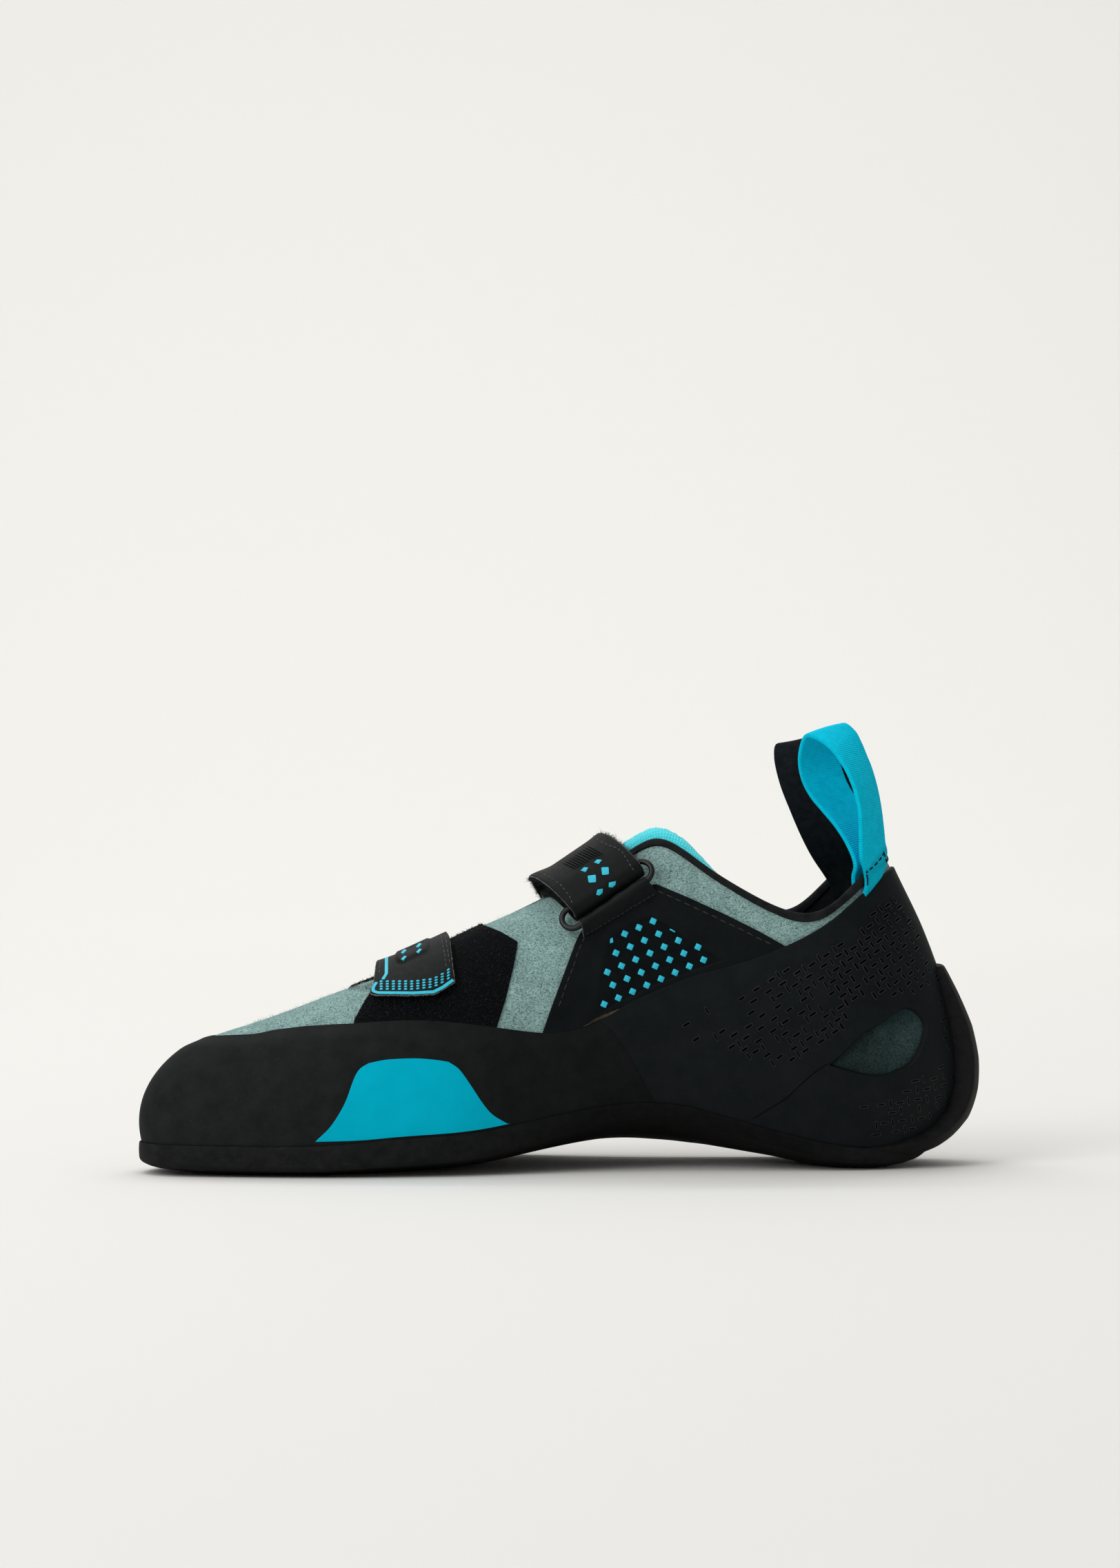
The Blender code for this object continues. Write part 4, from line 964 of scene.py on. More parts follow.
def build_heel_rand():
    medial, lateral = SEAM_RIB["medial"], SEAM_RIB["lateral"]
    along, drop_a = rim(230, 220, 0.4)
    across, drop_b = rim(66, 70, 0.4)
    ribs, climbs = band((medial[0] + 0.5, medial[1] + 0.5), (ROUND - lateral[0] - 0.5, ROUND - lateral[1] - 0.5), along, across)
    out = np.maximum(0.05, rand_height(across, 1.25)[None, :] - np.minimum(np.maximum(drop_a[:, None], drop_b[None, :]), 50))
    made = slab("heel_rand_rubber", coat(ribs, climbs, out), coat(ribs, climbs, 0.05), HEEL_RUBBER, slot="rand_rubber", stands_for="heel_rand")
    s, v = HEEL_SKIN.find(ring_of(WINDOW_OUTLINE, 90))
    n = len(s)
    # The cut leans out, so that the window's edge is bevelled.
    cs, cv = s.mean(), v.mean()
    rings = [coat(cs + (s - cs) * k, cv + (v - cv) * k, o) for k, o in ((0.955, -1.2), (0.955, 0.6), (1.0, 1.55), (1.05, 2.3), (1.12, 6.0))]
    points = np.concatenate(rings + [coat(cs, cv, -1.2)[None], coat(cs, cv, 6.0)[None]])
    faces = []
    for r in range(len(rings) - 1):
        for k in range(n):
            q = (k + 1) % n
            faces.append((r * n + k, r * n + q, (r + 1) * n + q, (r + 1) * n + k))
    last = (len(rings) - 1) * n
    for k in range(n):
        q = (k + 1) % n
        faces += [(q, k, len(points) - 2), (last + k, last + q, len(points) - 1)]
    cutter = piece("window_cutter", points, faces, HEEL_RUBBER)
    cut = made.modifiers.new("window", "BOOLEAN")
    cut.operation, cut.solver, cut.object = "DIFFERENCE", "EXACT", cutter
    bpy.context.view_layer.update()
    graph = bpy.context.evaluated_depsgraph_get()
    done = bpy.data.meshes.new_from_object(made.evaluated_get(graph))
    made.modifiers.clear()
    made.data = done
    done.shade_smooth()
    done.set_sharp_from_angle(angle=math.radians(50))
    bpy.data.objects.remove(cutter, do_unlink=True)
    # The suede that shows in the window.
    shares = np.linspace(0, 1, 26)
    rim_s, rim_v = cs + (s - cs) * 1.1, cv + (v - cv) * 1.1
    ss = cs + (rim_s - cs)[:, None] * shares[None, :]
    vv = cv + (rim_v - cv)[:, None] * shares[None, :]
    height = 0.5 - 0.42 * shares**3
    faces = np.concatenate([grid(n, 26, ring=True), grid(n, 26, n * 26, flip=True, ring=True)])
    low = coat(ss, vv, 0.03)
    top_side = coat(ss, vv, np.broadcast_to(height, ss.shape))
    top_side[:, -1] = low[:, -1]
    piece("window_suede", np.concatenate([top_side.reshape(-1, 3), low.reshape(-1, 3)]), faces, WINDOW_SUEDE, "suede")


def inside_window(x, y):
    """Signed distance in the picture to the heel window's outline, positive inside."""
    return float(inside_share(np.array((x, y), float), WINDOW_OUTLINE))


def build_dashes():
    """Short slits pressed in the heel rubber: a slanted lattice with every other slit turned across. Each slit is drawn
    as a near-black sheet on the rubber, painted shade, in a paler raised lip that carries a painted highlight.
    """
    rng = np.random.default_rng(7)
    shade_floors, lip_highlights = [], []
    marks = []
    top_line = ((985, 1466), (1050, 1449), (1100, 1426), (1129, 1409), (1167, 1388), (1218, 1362), (1261, 1330), (1280, 1311), (1294, 1294), (1310, 1302), (1348, 1388))
    low_line = ((985, 1500), (1040, 1522), (1110, 1540), (1151, 1548), (1168, 1536), (1215, 1500), (1240, 1452), (1300, 1446), (1340, 1440), (1372, 1432))
    for turn, step, middle_of, low in ((-33.0, 12.6, (1205.0, 1440.0), False), (-9.0, 13.6, (1320.0, 1610.0), True)):
        c, s = math.cos(math.radians(turn)) * step, math.sin(math.radians(turn)) * step
        for i in range(-34, 35):
            for j in range(-34, 35):
                x, y = np.array(middle_of) + np.array((c, s)) * i + np.array((-s, c)) * j + rng.normal(0, 0.9, 2)
                turned = (i + j) % 2
                luck = rng.random()
                if not (985 < x < 1384 and 1290 < y < 1668):
                    continue
                if low:
                    groove = np.interp(x, (1250, 1300, 1340, 1360, 1384), (1656, 1648, 1631, 1616, 1580))
                    back = 1450 < y <= 1575 and np.interp(y, (1450, 1520, 1575), (1362, 1366, 1352)) < x < np.interp(y, (1450, 1500, 1575), (1374, 1381, 1377))
                    under = y > np.interp(x, (1250, 1300, 1345, 1384), (1606, 1580, 1556, 1545)) and y < groove and x > 1252
                    keep = 0.7 if back else np.interp(x, (1252, 1300, 1350), (0.3, 0.75, 0.9))
                    if not (back or under) or luck > keep:
                        continue
                else:
                    if not np.interp(x, *zip(*top_line)) < y < np.interp(x, *zip(*low_line)):
                        continue
                    keep = np.interp(x, (985, 1060, 1130, 1200, 1260), (0.2, 0.5, 0.75, 0.92, 0.97) if not turned else (0.05, 0.22, 0.42, 0.7, 0.95))
                    if luck > keep:
                        continue
                if inside_window(x, y) > -7:
                    continue
                squeeze = np.interp(x, (1250, 1340), (1.0, 0.62)) if y < 1470 else np.interp(x, (1300, 1380), (1.0, 0.7))
                lean = turn + (90 if turned else 0) + (np.interp(x, (1270, 1350), (0, -18)) if not low else np.interp(x, (1330, 1380), (0, -25)))
                faint = low or (turned and x < 1215)
                marks.append((x, y, lean, rng.uniform(4.9, 5.8) * squeeze, faint))
    ends = []
    for x, y, lean, half, _ in marks:
        c, s = math.cos(math.radians(lean)) * half, math.sin(math.radians(lean)) * half
        ends.append(((x - c, y - s), (x + c, y + s)))
    s, v = HEEL_SKIN.find(np.array(ends))
    for mirrored in (False, True):
        for k in range(len(ends)):
            sk, vk = (ROUND - s[k], v[k]) if mirrored else (s[k], v[k])
            if abs(sk[0] - sk[1]) > 6 or abs(vk[0] - vk[1]) > 0.08:
                continue
            p = coat(sk, vk, GAP + RAND)
            d = p[1] - p[0]
            far = np.linalg.norm(d)
            if far < 0.3 or far > 4.2:
                continue
            d /= far
            mid_s, mid_v = sk.mean(), vk.mean()
            centre = coat(mid_s, mid_v, GAP + RAND)
            out = facing(np.array(mid_s), np.array(mid_v))
            side = np.cross(out, d)
            side /= np.linalg.norm(side)
            outline = []
            faint = marks[k][4]
            half_long, half_wide = far / 2, 0.22 if faint else 0.34
            side = side if side[2] > 0 else -side
            for a in np.linspace(0, 2 * math.pi, 12, endpoint=False):
                u = math.copysign(abs(math.cos(a)) ** 0.35, math.cos(a))
                w = math.copysign(abs(math.sin(a)) ** 0.5, math.sin(a))
                outline.append((u, w))
            def loop(grow, lift):
                return np.array([centre + d * u * (half_long + grow) + side * w * (half_wide + grow) + out * lift for u, w in outline])
            # The slit's floor is a near-black sheet lying just above the rubber: painted shade in the slit.
            shade_floors.append((np.concatenate([loop(0, 0.03 if faint else 0.05), loop(0, -0.2)]), [tuple(range(12)), tuple(range(23, 11, -1))] + [(a, 12 + a, 12 + (a + 1) % 12, (a + 1) % 12) for a in range(12)]))
            # Each slit has a raised lip, highest on its lower side, in paler rubber: a painted highlight.
            tall = 0.5 if faint else 1.0
            below = np.array([min(1.0, max(0.12, 0.45 - 0.75 * w)) for _, w in outline])[:, None]
            lip = np.concatenate([loop(0.0, 0.02), loop(0.05, 0) + out * below * 0.17 * tall, loop(0.14, 0) + out * below * 0.14 * tall, loop(0.34, -0.03)])
            lip_highlights.append((lip, [(r * 12 + a, r * 12 + (a + 1) % 12, (r + 1) * 12 + (a + 1) % 12, (r + 1) * 12 + a) for r in range(3) for a in range(12)]))
    piece("heel_slit_shades", *join(shade_floors), SLIT_SHADE, "rand_rubber", weld=False)
    piece("heel_slit_lip_highlights", *join(lip_highlights), LIP_HIGHLIGHT, "rand_rubber", weld=False, closed=False)


def seam(name, surface, run, width, lift, material, slot="rand_rubber", count=60, smooth=True, ends=0.2):
    """A thin line on a surface along a run in the picture."""
    a, b = surface.find((smooth_path if smooth else straight_path)(run, count))
    line = surface.at(a, b, lift)
    out = surface.normal(a, b)
    d = np.gradient(line, axis=0)
    side = np.cross(out, d)
    side /= np.linalg.norm(side, axis=1, keepdims=True)
    taper = np.interp(np.linspace(0, 1, count), (0, 0.06, 0.94, 1), (ends, 1, 1, ends))[:, None] * width / 2
    profile = [line - side * taper - out * 0.15, line - side * taper * 0.8 + out * 0.03, line + side * taper * 0.8 + out * 0.03, line + side * taper - out * 0.15]
    points = np.stack(profile, 1).reshape(-1, 3)
    faces = [tuple(f) for f in grid(count, 4)] + [(i * 4, i * 4 + 3, i * 4 + 7, i * 4 + 4) for i in range(count - 1)]
    faces += [(0, 1, 2, 3), tuple((count - 1) * 4 + k for k in (3, 2, 1, 0))]
    return piece(name, points, faces, material, slot, weld=False)


TOE_SKIN = Surface(lambda s, v: coat(s, v, GAP + RAND), (2.0, 175.0), (0.004, 0.99))


def build_turquoise_patch():
    low = ((457, 1656), (500, 1655), (540, 1653), (600, 1648), (650, 1646), (700, 1643), (740, 1632))
    high = ((535, 1542), (560, 1537), (600, 1535), (630, 1537), (650, 1540))
    left = ((457, 1656), (480, 1633), (500, 1600), (513, 1565), (522, 1550), (535, 1542))
    right = ((740, 1632), (715, 1617), (700, 1600), (680, 1570), (665, 1550), (650, 1540))
    s, v = quilt(TOE_SKIN, low, high, left, right)
    a, drop_a = rim(90, 50, 0.16)
    b, drop_b = rim(60, 26, 0.16)
    s, v = resample(s, a, b), np.maximum(resample(v, a, b), 0.012)
    out = np.maximum(1.7, 2.06 - np.minimum(np.maximum(drop_a[:, None], drop_b[None, :]), 50))
    slab("turquoise_patch", coat(s, v, out), coat(s, v, 1.7), PATCH_RUBBER, slot="rand_rubber")


def sole_edge_z(s):
    """Height of the top of the sole's edge, and of its bottom, at each rib."""
    s = np.asarray(s, float)
    rims = np.stack([skin(s, np.full_like(s, c), np.full_like(s, o))[..., 2] for c, o in ((0.0, 0.0), (0.012, GAP + RAND), (0.012, GAP))])
    ledge = rims.min(0) - 0.2
    near = np.minimum(s % ROUND, ROUND - s % ROUND)
    knots = KNOTS[: len(SOLE)]
    medial = np.interp(near, knots, [row[0] for row in SOLE])
    lateral = np.interp(near, knots, [row[1] for row in SOLE])
    depth = np.where(s % ROUND <= HEEL, medial, lateral)
    return ledge, np.maximum(0.0, ledge - 0.15 - depth)


HEEL_LIFT = ((90.0, 0.0), (96.7, 0.2), (102.0, 0.6), (107.7, 1.4), (112.0, 2.7), (116.5, 4.5), (121.0, 6.6), (125.4, 9.8), (130.0, 14.5))


def heel_lift(points):
    """Points kept above the line that the bottom of the heel follows."""
    points = points.copy()
    low = np.interp(-points[..., 0], [row[0] for row in HEEL_LIFT], [row[1] for row in HEEL_LIFT], left=-1.0)
    points[..., 2] = np.maximum(points[..., 2], low)
    return points


def build_sole():
    rows = 190
    half = HEEL * (1 - np.cos(np.pi * np.arange(rows + 1) / rows)) / 2
    ribs = np.concatenate([half, (ROUND - half[1:-1])[::-1]])
    ledge, floor = sole_edge_z(ribs)
    depth = ledge - floor
    edge, face = foot(ribs), turn(ribs)
    reach = GAP + RAND + 0.75
    round_low = np.minimum(1.7, depth * 0.3)
    profile = [(-1.9, ledge - 1.7), (-0.85, ledge - 1.25), (-0.42, ledge - 0.2), (-0.28, ledge), (-0.1, ledge - 0.06), (0.0, ledge - 0.32)]
    for k in (0.25, 0.5, 0.72):
        profile.append((0.12 * math.sin(math.pi * k), ledge - 0.32 - (depth - 0.32 - round_low) * k))
    for a in np.linspace(0, math.pi / 2, 7):
        profile.append((-round_low * (1 - math.cos(a)), floor + round_low * (1 - math.sin(a))))
    columns = len(profile)
    arch = soft(edge[:, 0], -92.0, -66.0) * (1 - soft(edge[:, 0], -14.0, 12.0))
    ring = np.zeros((len(ribs), columns, 3))
    for k, (inset, z) in enumerate(profile):
        lean = 2.6 * arch * np.clip((ledge - 0.4 - z) / depth, 0, 1)
        ring[:, k] = edge + face * np.broadcast_to(reach + inset - lean, ribs.shape)[:, None]
        ring[:, k, 2] = z
    ring = heel_lift(ring)
    points = [ring.reshape(-1, 3)]
    faces = [grid(len(ribs), columns, ring=True, flip=True)]
    n_ring = len(ribs) * columns
    t = np.sin(np.linspace(-math.pi / 2, math.pi / 2, 27))
    dome = np.interp(half, KNOTS[: len(SOLE)], [row[2] for row in SOLE])
    width = np.linalg.norm(foot(half)[:, :2] - foot(ROUND - half)[:, :2], axis=1)
    start = n_ring
    for level, sign in ((0, 1), (columns - 1, -1)):
        leafs = np.zeros((rows + 1, len(t), 3))
        for i in range(rows + 1):
            m, l = ring[i, level], ring[(len(ribs) - i) % len(ribs), level]
            leafs[i] = l + (m - l) * ((t + 1) / 2)[:, None]
            if sign > 0:
                leafs[i, :, 2] -= 2.0 * min(1.0, width[i] / 45) * (1 - t * t)
            else:
                leafs[i, :, 2] = np.maximum(0.0, leafs[i, :, 2] - dome[i] * (1 - np.abs(t) ** 2.6))
        points.append(heel_lift(leafs).reshape(-1, 3))
        faces.append(grid(rows + 1, len(t), start, flip=sign > 0))
        start += (rows + 1) * len(t)
    piece("sole_rubber_plate", np.concatenate(points), np.concatenate(faces), SOLE_RUBBER, "sole_rubber", "outsole", sharp=60)


# The strip up the back of the heel: how far it stands out at each climb, and half its width in ribs, flaring into the sole.
STRIP_OUT = ((-0.05, 4.2), (0.0, 4.6), (0.05, 5.2), (0.1, 6.0), (0.2, 7.4), (0.3, 8.1), (0.4, 8.2), (0.5, 7.5), (0.6, 5.7), (0.66, 4.5), (0.7, 3.6))
STRIP_HALF = ((-0.05, 46.0), (0.0, 38.0), (0.004, 36.5), (0.04, 25.2), (0.1, 16.2), (0.15, 12.2), (0.23, 8.7), (0.32, 7.5), (0.42, 7.0), (0.53, 6.7), (0.7, 6.2))


def build_heel_strip():
    inner = 2 * GAP + RAND - 0.5
    highest = climb_to(HEEL, STRIP_TOP, 3.0)
    across, drop_a = rim(50, 22, 1.0, 6)
    up, drop_u = rim(104, 75, 0.9, 6)
    climbs = -0.14 + (highest + 0.14) * up
    half = np.interp(climbs, [row[0] for row in STRIP_HALF], [row[1] for row in STRIP_HALF])
    half = half * np.interp(up, (0.93, 0.975, 1.0), (1.0, 0.94, 0.78))
    ribs = HEEL + half[None, :] * (2 * across - 1)[:, None]
    v = np.broadcast_to(climbs[None, :], ribs.shape)
    full = np.interp(climbs, [row[0] for row in STRIP_OUT], [row[1] for row in STRIP_OUT])
    ease = 1 - soft(np.abs(ribs - HEEL), 9.0, 40.0)
    height = 2.55 + (full[None, :] - 2.55) * ease
    height = height - 0.6 * soft(np.abs(ribs - HEEL), 14.0, 34.0) * (1 - soft(v, -0.06, 0.01))
    low_end = np.where(up < 0.05, 0, 1)
    out = np.maximum(inner, height - np.minimum(np.maximum(drop_a[:, None], (drop_u * low_end)[None, :]), 50))
    inside = 0.9 * soft(np.abs(ribs - HEEL), 12.0, 28.0)
    lowest = sole_edge_z(ribs.ravel())[1].reshape(ribs.shape) + 0.3 + inside
    points = heel_lift(skin(ribs, v, out))
    points[..., 2] = np.maximum(points[..., 2], np.where(inside > 0.05, lowest, 0.3))
    # Beneath, it ends inside the sole as far back as the sole reaches.
    floor_at = np.interp(-points[..., 0], [row[0] for row in HEEL_LIFT], [row[1] for row in HEEL_LIFT])
    points[..., 2] = np.maximum(points[..., 2], floor_at + 0.55 * soft(points[..., 0], -120.0, -115.5))
    under = heel_lift(skin(ribs, v, np.full(ribs.shape, inner)))
    under[..., 2] = np.maximum(under[..., 2], floor_at + 0.6 * soft(points[..., 0], -120.0, -115.5))
    under[..., 2] = np.maximum(under[..., 2], np.where(inside > 0.05, lowest, 0.3))
    under[..., 2] += 0.3 * (under[..., 2] < points[..., 2] + 0.05) * (points[..., 2] < 16)
    slab("heel_strip_rubber", points, under, STRIP_RUBBER, slot="sole_rubber")


def build_insole():
    rows = 120
    half = HEEL * (1 - np.cos(np.pi * np.arange(rows + 1) / rows)) / 2
    t = np.linspace(-1, 1, 31)
    ledge = sole_edge_z(half)[0] - 0.15, sole_edge_z(ROUND - half)[0] - 0.15
    width = np.minimum(1.0, np.linalg.norm(foot(half)[:, :2] - foot(ROUND - half)[:, :2], axis=1) / 45)
    m = foot(half) - turn(half) * (UPPER_WALL + 1.3)
    l = foot(ROUND - half) - turn(ROUND - half) * (UPPER_WALL + 1.3)
    flat = l[:, None] + (m - l)[:, None] * ((t + 1) / 2)[None, :, None]
    tt = t * 0.93
    z = ledge[1][:, None] + (ledge[0] - ledge[1])[:, None] * (tt[None] + 1) / 2 - 2.2 * width[:, None] * (1 - tt[None] ** 2) + 0.5
    upper_face, under = flat.copy(), flat.copy()
    upper_face[..., 2], under[..., 2] = z + INSOLE, z
    edge = np.zeros_like(z, bool)
    edge[:, 0] = edge[:, -1] = edge[0] = edge[-1] = True
    upper_face[edge] = (upper_face[edge] + under[edge]) / 2
    under[edge] = upper_face[edge]
    slab("insole_board", upper_face[:, ::-1], under[:, ::-1], BOARD, slot="board", stands_for="insole")
# Cloth and trim


def read(values, a, b):
    """A grid of points read at shares of its rows and columns."""
    n, m = values.shape[:2]
    a, b = np.broadcast_arrays(np.asarray(a, float), np.asarray(b, float))
    x, y = np.clip(a, 0, 1) * (n - 1), np.clip(b, 0, 1) * (m - 1)
    i, j = np.minimum(x.astype(int), n - 2), np.minimum(y.astype(int), m - 2)
    fx, fy = (x - i)[..., None], (y - j)[..., None]
    return (values[i, j] * (1 - fx) + values[i + 1, j] * fx) * (1 - fy) + (values[i, j + 1] * (1 - fx) + values[i + 1, j + 1] * fx) * fy


def normals_of(points):
    n = np.cross(np.gradient(points, axis=0), np.gradient(points, axis=1))
    return n / np.maximum(np.linalg.norm(n, axis=-1, keepdims=True), 1e-12)


def cut_of(points):
    """Distances across and along a grid of points, for a weave that follows it."""
    across = np.linalg.norm(np.diff(points, axis=0), axis=-1).mean(1)
    along = np.linalg.norm(np.diff(points, axis=1), axis=-1).mean(0)
    u = np.concatenate([[0], np.cumsum(across)])
    w = np.concatenate([[0], np.cumsum(along)])
    return np.stack(np.meshgrid(u, w, indexing="ij"), -1)


def inside_share(places, outline):
    """Signed distance in the picture to a closed outline, positive inside."""
    p = np.asarray(places, float)
    o = np.asarray(outline, float)
    near = np.full(p.shape[:-1], 1e9)
    within = np.zeros(p.shape[:-1], bool)
    for a, b in zip(o, np.roll(o, -1, 0)):
        d = b - a
        t = np.clip(((p - a) @ d) / (d @ d), 0, 1)
        near = np.minimum(near, np.linalg.norm(p - a - t[..., None] * d, axis=-1))
        cross = (a[1] > p[..., 1]) != (b[1] > p[..., 1])
        at = a[0] + (p[..., 1] - a[1]) / (b[1] - a[1] if b[1] != a[1] else 1e-9) * (b[0] - a[0])
        within ^= cross & (p[..., 0] < at)
    return np.where(within, near, -near)


def sheet_surface(points, steps=(90, 140)):
    """A grid of points as a surface that faces the camera."""
    made = Surface(lambda a, b: read(points, a, b), (0.0, 1.0), (0.0, 1.0), steps)
    if (made.seen[:, 0] < 1e5).mean() < 0.5:
        turned = points[::-1]
        made = Surface(lambda a, b: read(turned, a, b), (0.0, 1.0), (0.0, 1.0), steps)
    return made


def coons(left, right, low, high):
    """Numbers over a patch from its four sides: left and right run bottom to top, low and high run left to right."""
    n, m = len(low), len(left)
    a, b = np.linspace(0, 1, n)[:, None, None], np.linspace(0, 1, m)[None, :, None]
    return (
        (1 - b) * low[:, None] + b * high[:, None] + (1 - a) * left[None] + a * right[None]
        - (1 - a) * (1 - b) * low[0] - a * (1 - b) * low[-1] - (1 - a) * b * high[0] - a * b * high[-1]
    )


def edge_thread(name, line, radius, material, seed=1, rough=0.25):
    """A thin uneven line along a run of points: a worn cut edge, and on the ring tab a painted highlight along its
    front edge.
    """
    rng = np.random.default_rng(seed)
    line = np.asarray(line, float)
    line = line + rng.normal(0, radius * rough, line.shape)
    return piece(name, *beads([line], radius, 6), material, weld=False)


PANEL_UP = 0.85
PANEL_SKIN = Surface(lambda s, v: coat(s, v, PANEL_UP), (118.0, 262.0), (0.05, 0.998))
POCKET_SKIN = Surface(lambda s, v: coat(s, v, PANEL_UP - 0.3), (118.0, 262.0), (0.05, 0.998))
PANEL_TOP = ((846, 1345), (880, 1322), (915, 1298), (950, 1281), (1000, 1302), (1050, 1325), (1100, 1350), (1146, 1376))
PANEL_LOW = ((784, 1507), (820, 1505), (850, 1496), (880, 1480), (950, 1456), (1000, 1437), (1050, 1421), (1100, 1402), (1146, 1380))
PANEL_FRONT = ((784, 1507), (800, 1460), (820, 1405), (836, 1362), (846, 1345))
POCKET_OUTLINE = ((864, 1476), (871, 1430), (877, 1390), (881, 1366), (895, 1350), (918, 1337), (945, 1327), (975, 1345), (1012, 1369), (1050, 1393), (1000, 1410), (960, 1425), (900, 1452))

POCKET_LOW = ((864, 1476), (900, 1452), (960, 1425), (1000, 1410), (1046, 1395.5))
POCKET_TOP = ((881, 1366), (895, 1350), (918, 1337), (945, 1327), (975, 1345), (1012, 1369), (1046, 1391))
POCKET_FRONT = ((864, 1476), (871, 1430), (877, 1390), (881, 1366))


def build_panel():
    s, v = quilt(PANEL_SKIN, PANEL_LOW, PANEL_TOP, PANEL_FRONT, ((1146, 1380), (1146, 1376)), coarse=(60, 34), smooth=False)
    a, drop_a = rim(140, 78, 0.3)
    b, drop_b = rim(80, 34, 0.3)
    s, v = resample(s, a, b), resample(v, a, b)
    places = picture(wall(s, v))
    sunk = soft(inside_share(places, POCKET_OUTLINE), -2.0, 3.0)
    out = np.maximum(0.02, PANEL_UP - 0.32 * sunk - np.minimum(np.maximum(drop_a[:, None], drop_b[None, :]), 50))
    slab("medial_panel", coat(s, v, out), coat(s, v, 0.02), PANEL, slot="strap_synthetic")
    # The pocket that shows the print is a thin cloth let into the panel.
    s, v = quilt(PANEL_SKIN, POCKET_LOW, POCKET_TOP, POCKET_FRONT, ((1046, 1395.5), (1046, 1391)), coarse=(60, 34), smooth=True)
    a, drop_a = rim(72, 40, 0.1)
    b, drop_b = rim(48, 26, 0.1)
    s, v = resample(s, a, b), resample(v, a, b)
    out = np.maximum(PANEL_UP - 0.5, PANEL_UP - 0.24 - np.minimum(np.maximum(drop_a[:, None], drop_b[None, :]), 50))
    slab("panel_pocket", coat(s, v, out), coat(s, v, PANEL_UP - 0.5), POCKET, slot="strap_synthetic")
    squares = []
    a, b = np.array((-20.6, 9.2)), np.array((8.0, 18.6))
    for i in range(-3, 8):
        for j in range(-2, 9):
            at = np.array((947.0, 1336.0)) + a * i + b * j
            depth = inside_share(at, POCKET_OUTLINE)
            if depth > 3.2 and at[0] > 858 + (1475 - at[1]) * 0.21:
                squares.append(square(at[0], at[1], 8.6, 24))
    # Two squares half under the panel's edge.
    squares.append([(884.4, 1368.4), (889.4, 1366.6), (888.4, 1359.6), (884.8, 1361.6)])
    squares.append([(970.6, 1348.4), (978.4, 1352.6), (979.2, 1350.8), (972.0, 1346.8)])
    piece("panel_squares", *pads(POCKET_SKIN, squares, 0.24), PRINT, weld=False)
    rows = [
        stitch_lines(PANEL_SKIN, [(x + 9, y + 3) for x, y in PANEL_FRONT[:0:-1]], 8, 4, seed=3),
        stitch_lines(PANEL_SKIN, ((953, 1292), (1000, 1313), (1050, 1336), (1100, 1361), (1122, 1372)), 9, 4.5, seed=4),
    ]
    piece("panel_stitches", *beads([x for r in rows for x in r], 0.22), THREAD, weld=False)
    seam("panel_glue_line", HEEL_TOP, ((846, 1489), (880, 1472), (950, 1447), (1000, 1427), (1050, 1412), (1100, 1393), (1122, 1383)), 0.95, 0.02, GLUE)


HEEL_TOP = Surface(lambda s, v: coat(s, v, 1.2), (118.0, HEEL - 1), (0.05, 0.998))
HOOK_LINES = 61
HOOK_FRONT = ((536, 1438.5), (541.5, 1425), (543, 1410), (544, 1394))
HOOK_REAR = ((659, 1423), (655.5, 1400), (653, 1378), (650.5, 1354))
HOOK_LOW = ((536, 1438.5), (546, 1441.5), (600, 1442), (630, 1440.5), (645, 1432), (659, 1423))


def hook_lift(s, v):
    """How far the outside of the lower strap stands off the upper."""
    k = np.clip((s - HOOK_RIBS[0]) / (HOOK_RIBS[1] - HOOK_RIBS[0]), 0, 1)
    t = np.clip((v - 0.72) / 0.28, 0, 1)
    return HOOK_STRAP + 1.7 + (1.6 - 1.9 * k) * t**1.2


def hook_sheet():
    """Underside of the lower strap: rows from its front edge to its rear, columns from its medial end over the spine."""
    cover = Surface(lambda s, v: skin(s, v, hook_lift(s, v)), (66.0, 118.0), (0.45, 0.9995), (160, 90))
    medial, lateral = 46, 70
    front = np.stack(cover.find(smooth_path(HOOK_FRONT, medial)), -1)
    rear = np.stack(cover.find(smooth_path(HOOK_REAR, medial)), -1)
    low = np.stack(cover.find(straight_path(HOOK_LOW, HOOK_LINES)), -1)
    front[-1, 1] = rear[-1, 1] = 1.0
    high = np.linspace(front[-1], rear[-1], HOOK_LINES)
    flat = coons(front, rear, low, high)
    s, v = flat[..., 0], flat[..., 1]
    points = np.zeros((HOOK_LINES, medial + lateral - 1, 3))
    points[:, :medial] = skin(s, v, hook_lift(s, v) - HOOK_STRAP)
    for i in range(HOOK_LINES):
        rib = s[i, -1]
        crest = float(hook_lift(rib, 1.0)) - HOOK_STRAP
        sewn = climb_to(ROUND - rib, HOOK_SEWN_Z)
        spine = facing(np.array(rib), np.array(1.0)) + facing(np.array(ROUND - rib), np.array(1.0))
        spine /= np.linalg.norm(spine)
        points[i, medial - 1] = wall(np.array(rib), np.array(1.0)) + spine * crest
        t = np.linspace(0, 1, lateral)[1:]
        skew = 4.5 * (1 - i / (HOOK_LINES - 1)) * np.minimum(1, 4 * t)
        points[i, medial:] = skin(ROUND - rib - skew, 1 + (sewn - 1) * t, crest + (0.7 - crest) * np.minimum(1, t * 1.25) ** 1.3)
    for _ in range(6):
        points[:, 4:-1] = 0.25 * points[:, 3:-2] + 0.5 * points[:, 4:-1] + 0.25 * points[:, 5:]
    return points


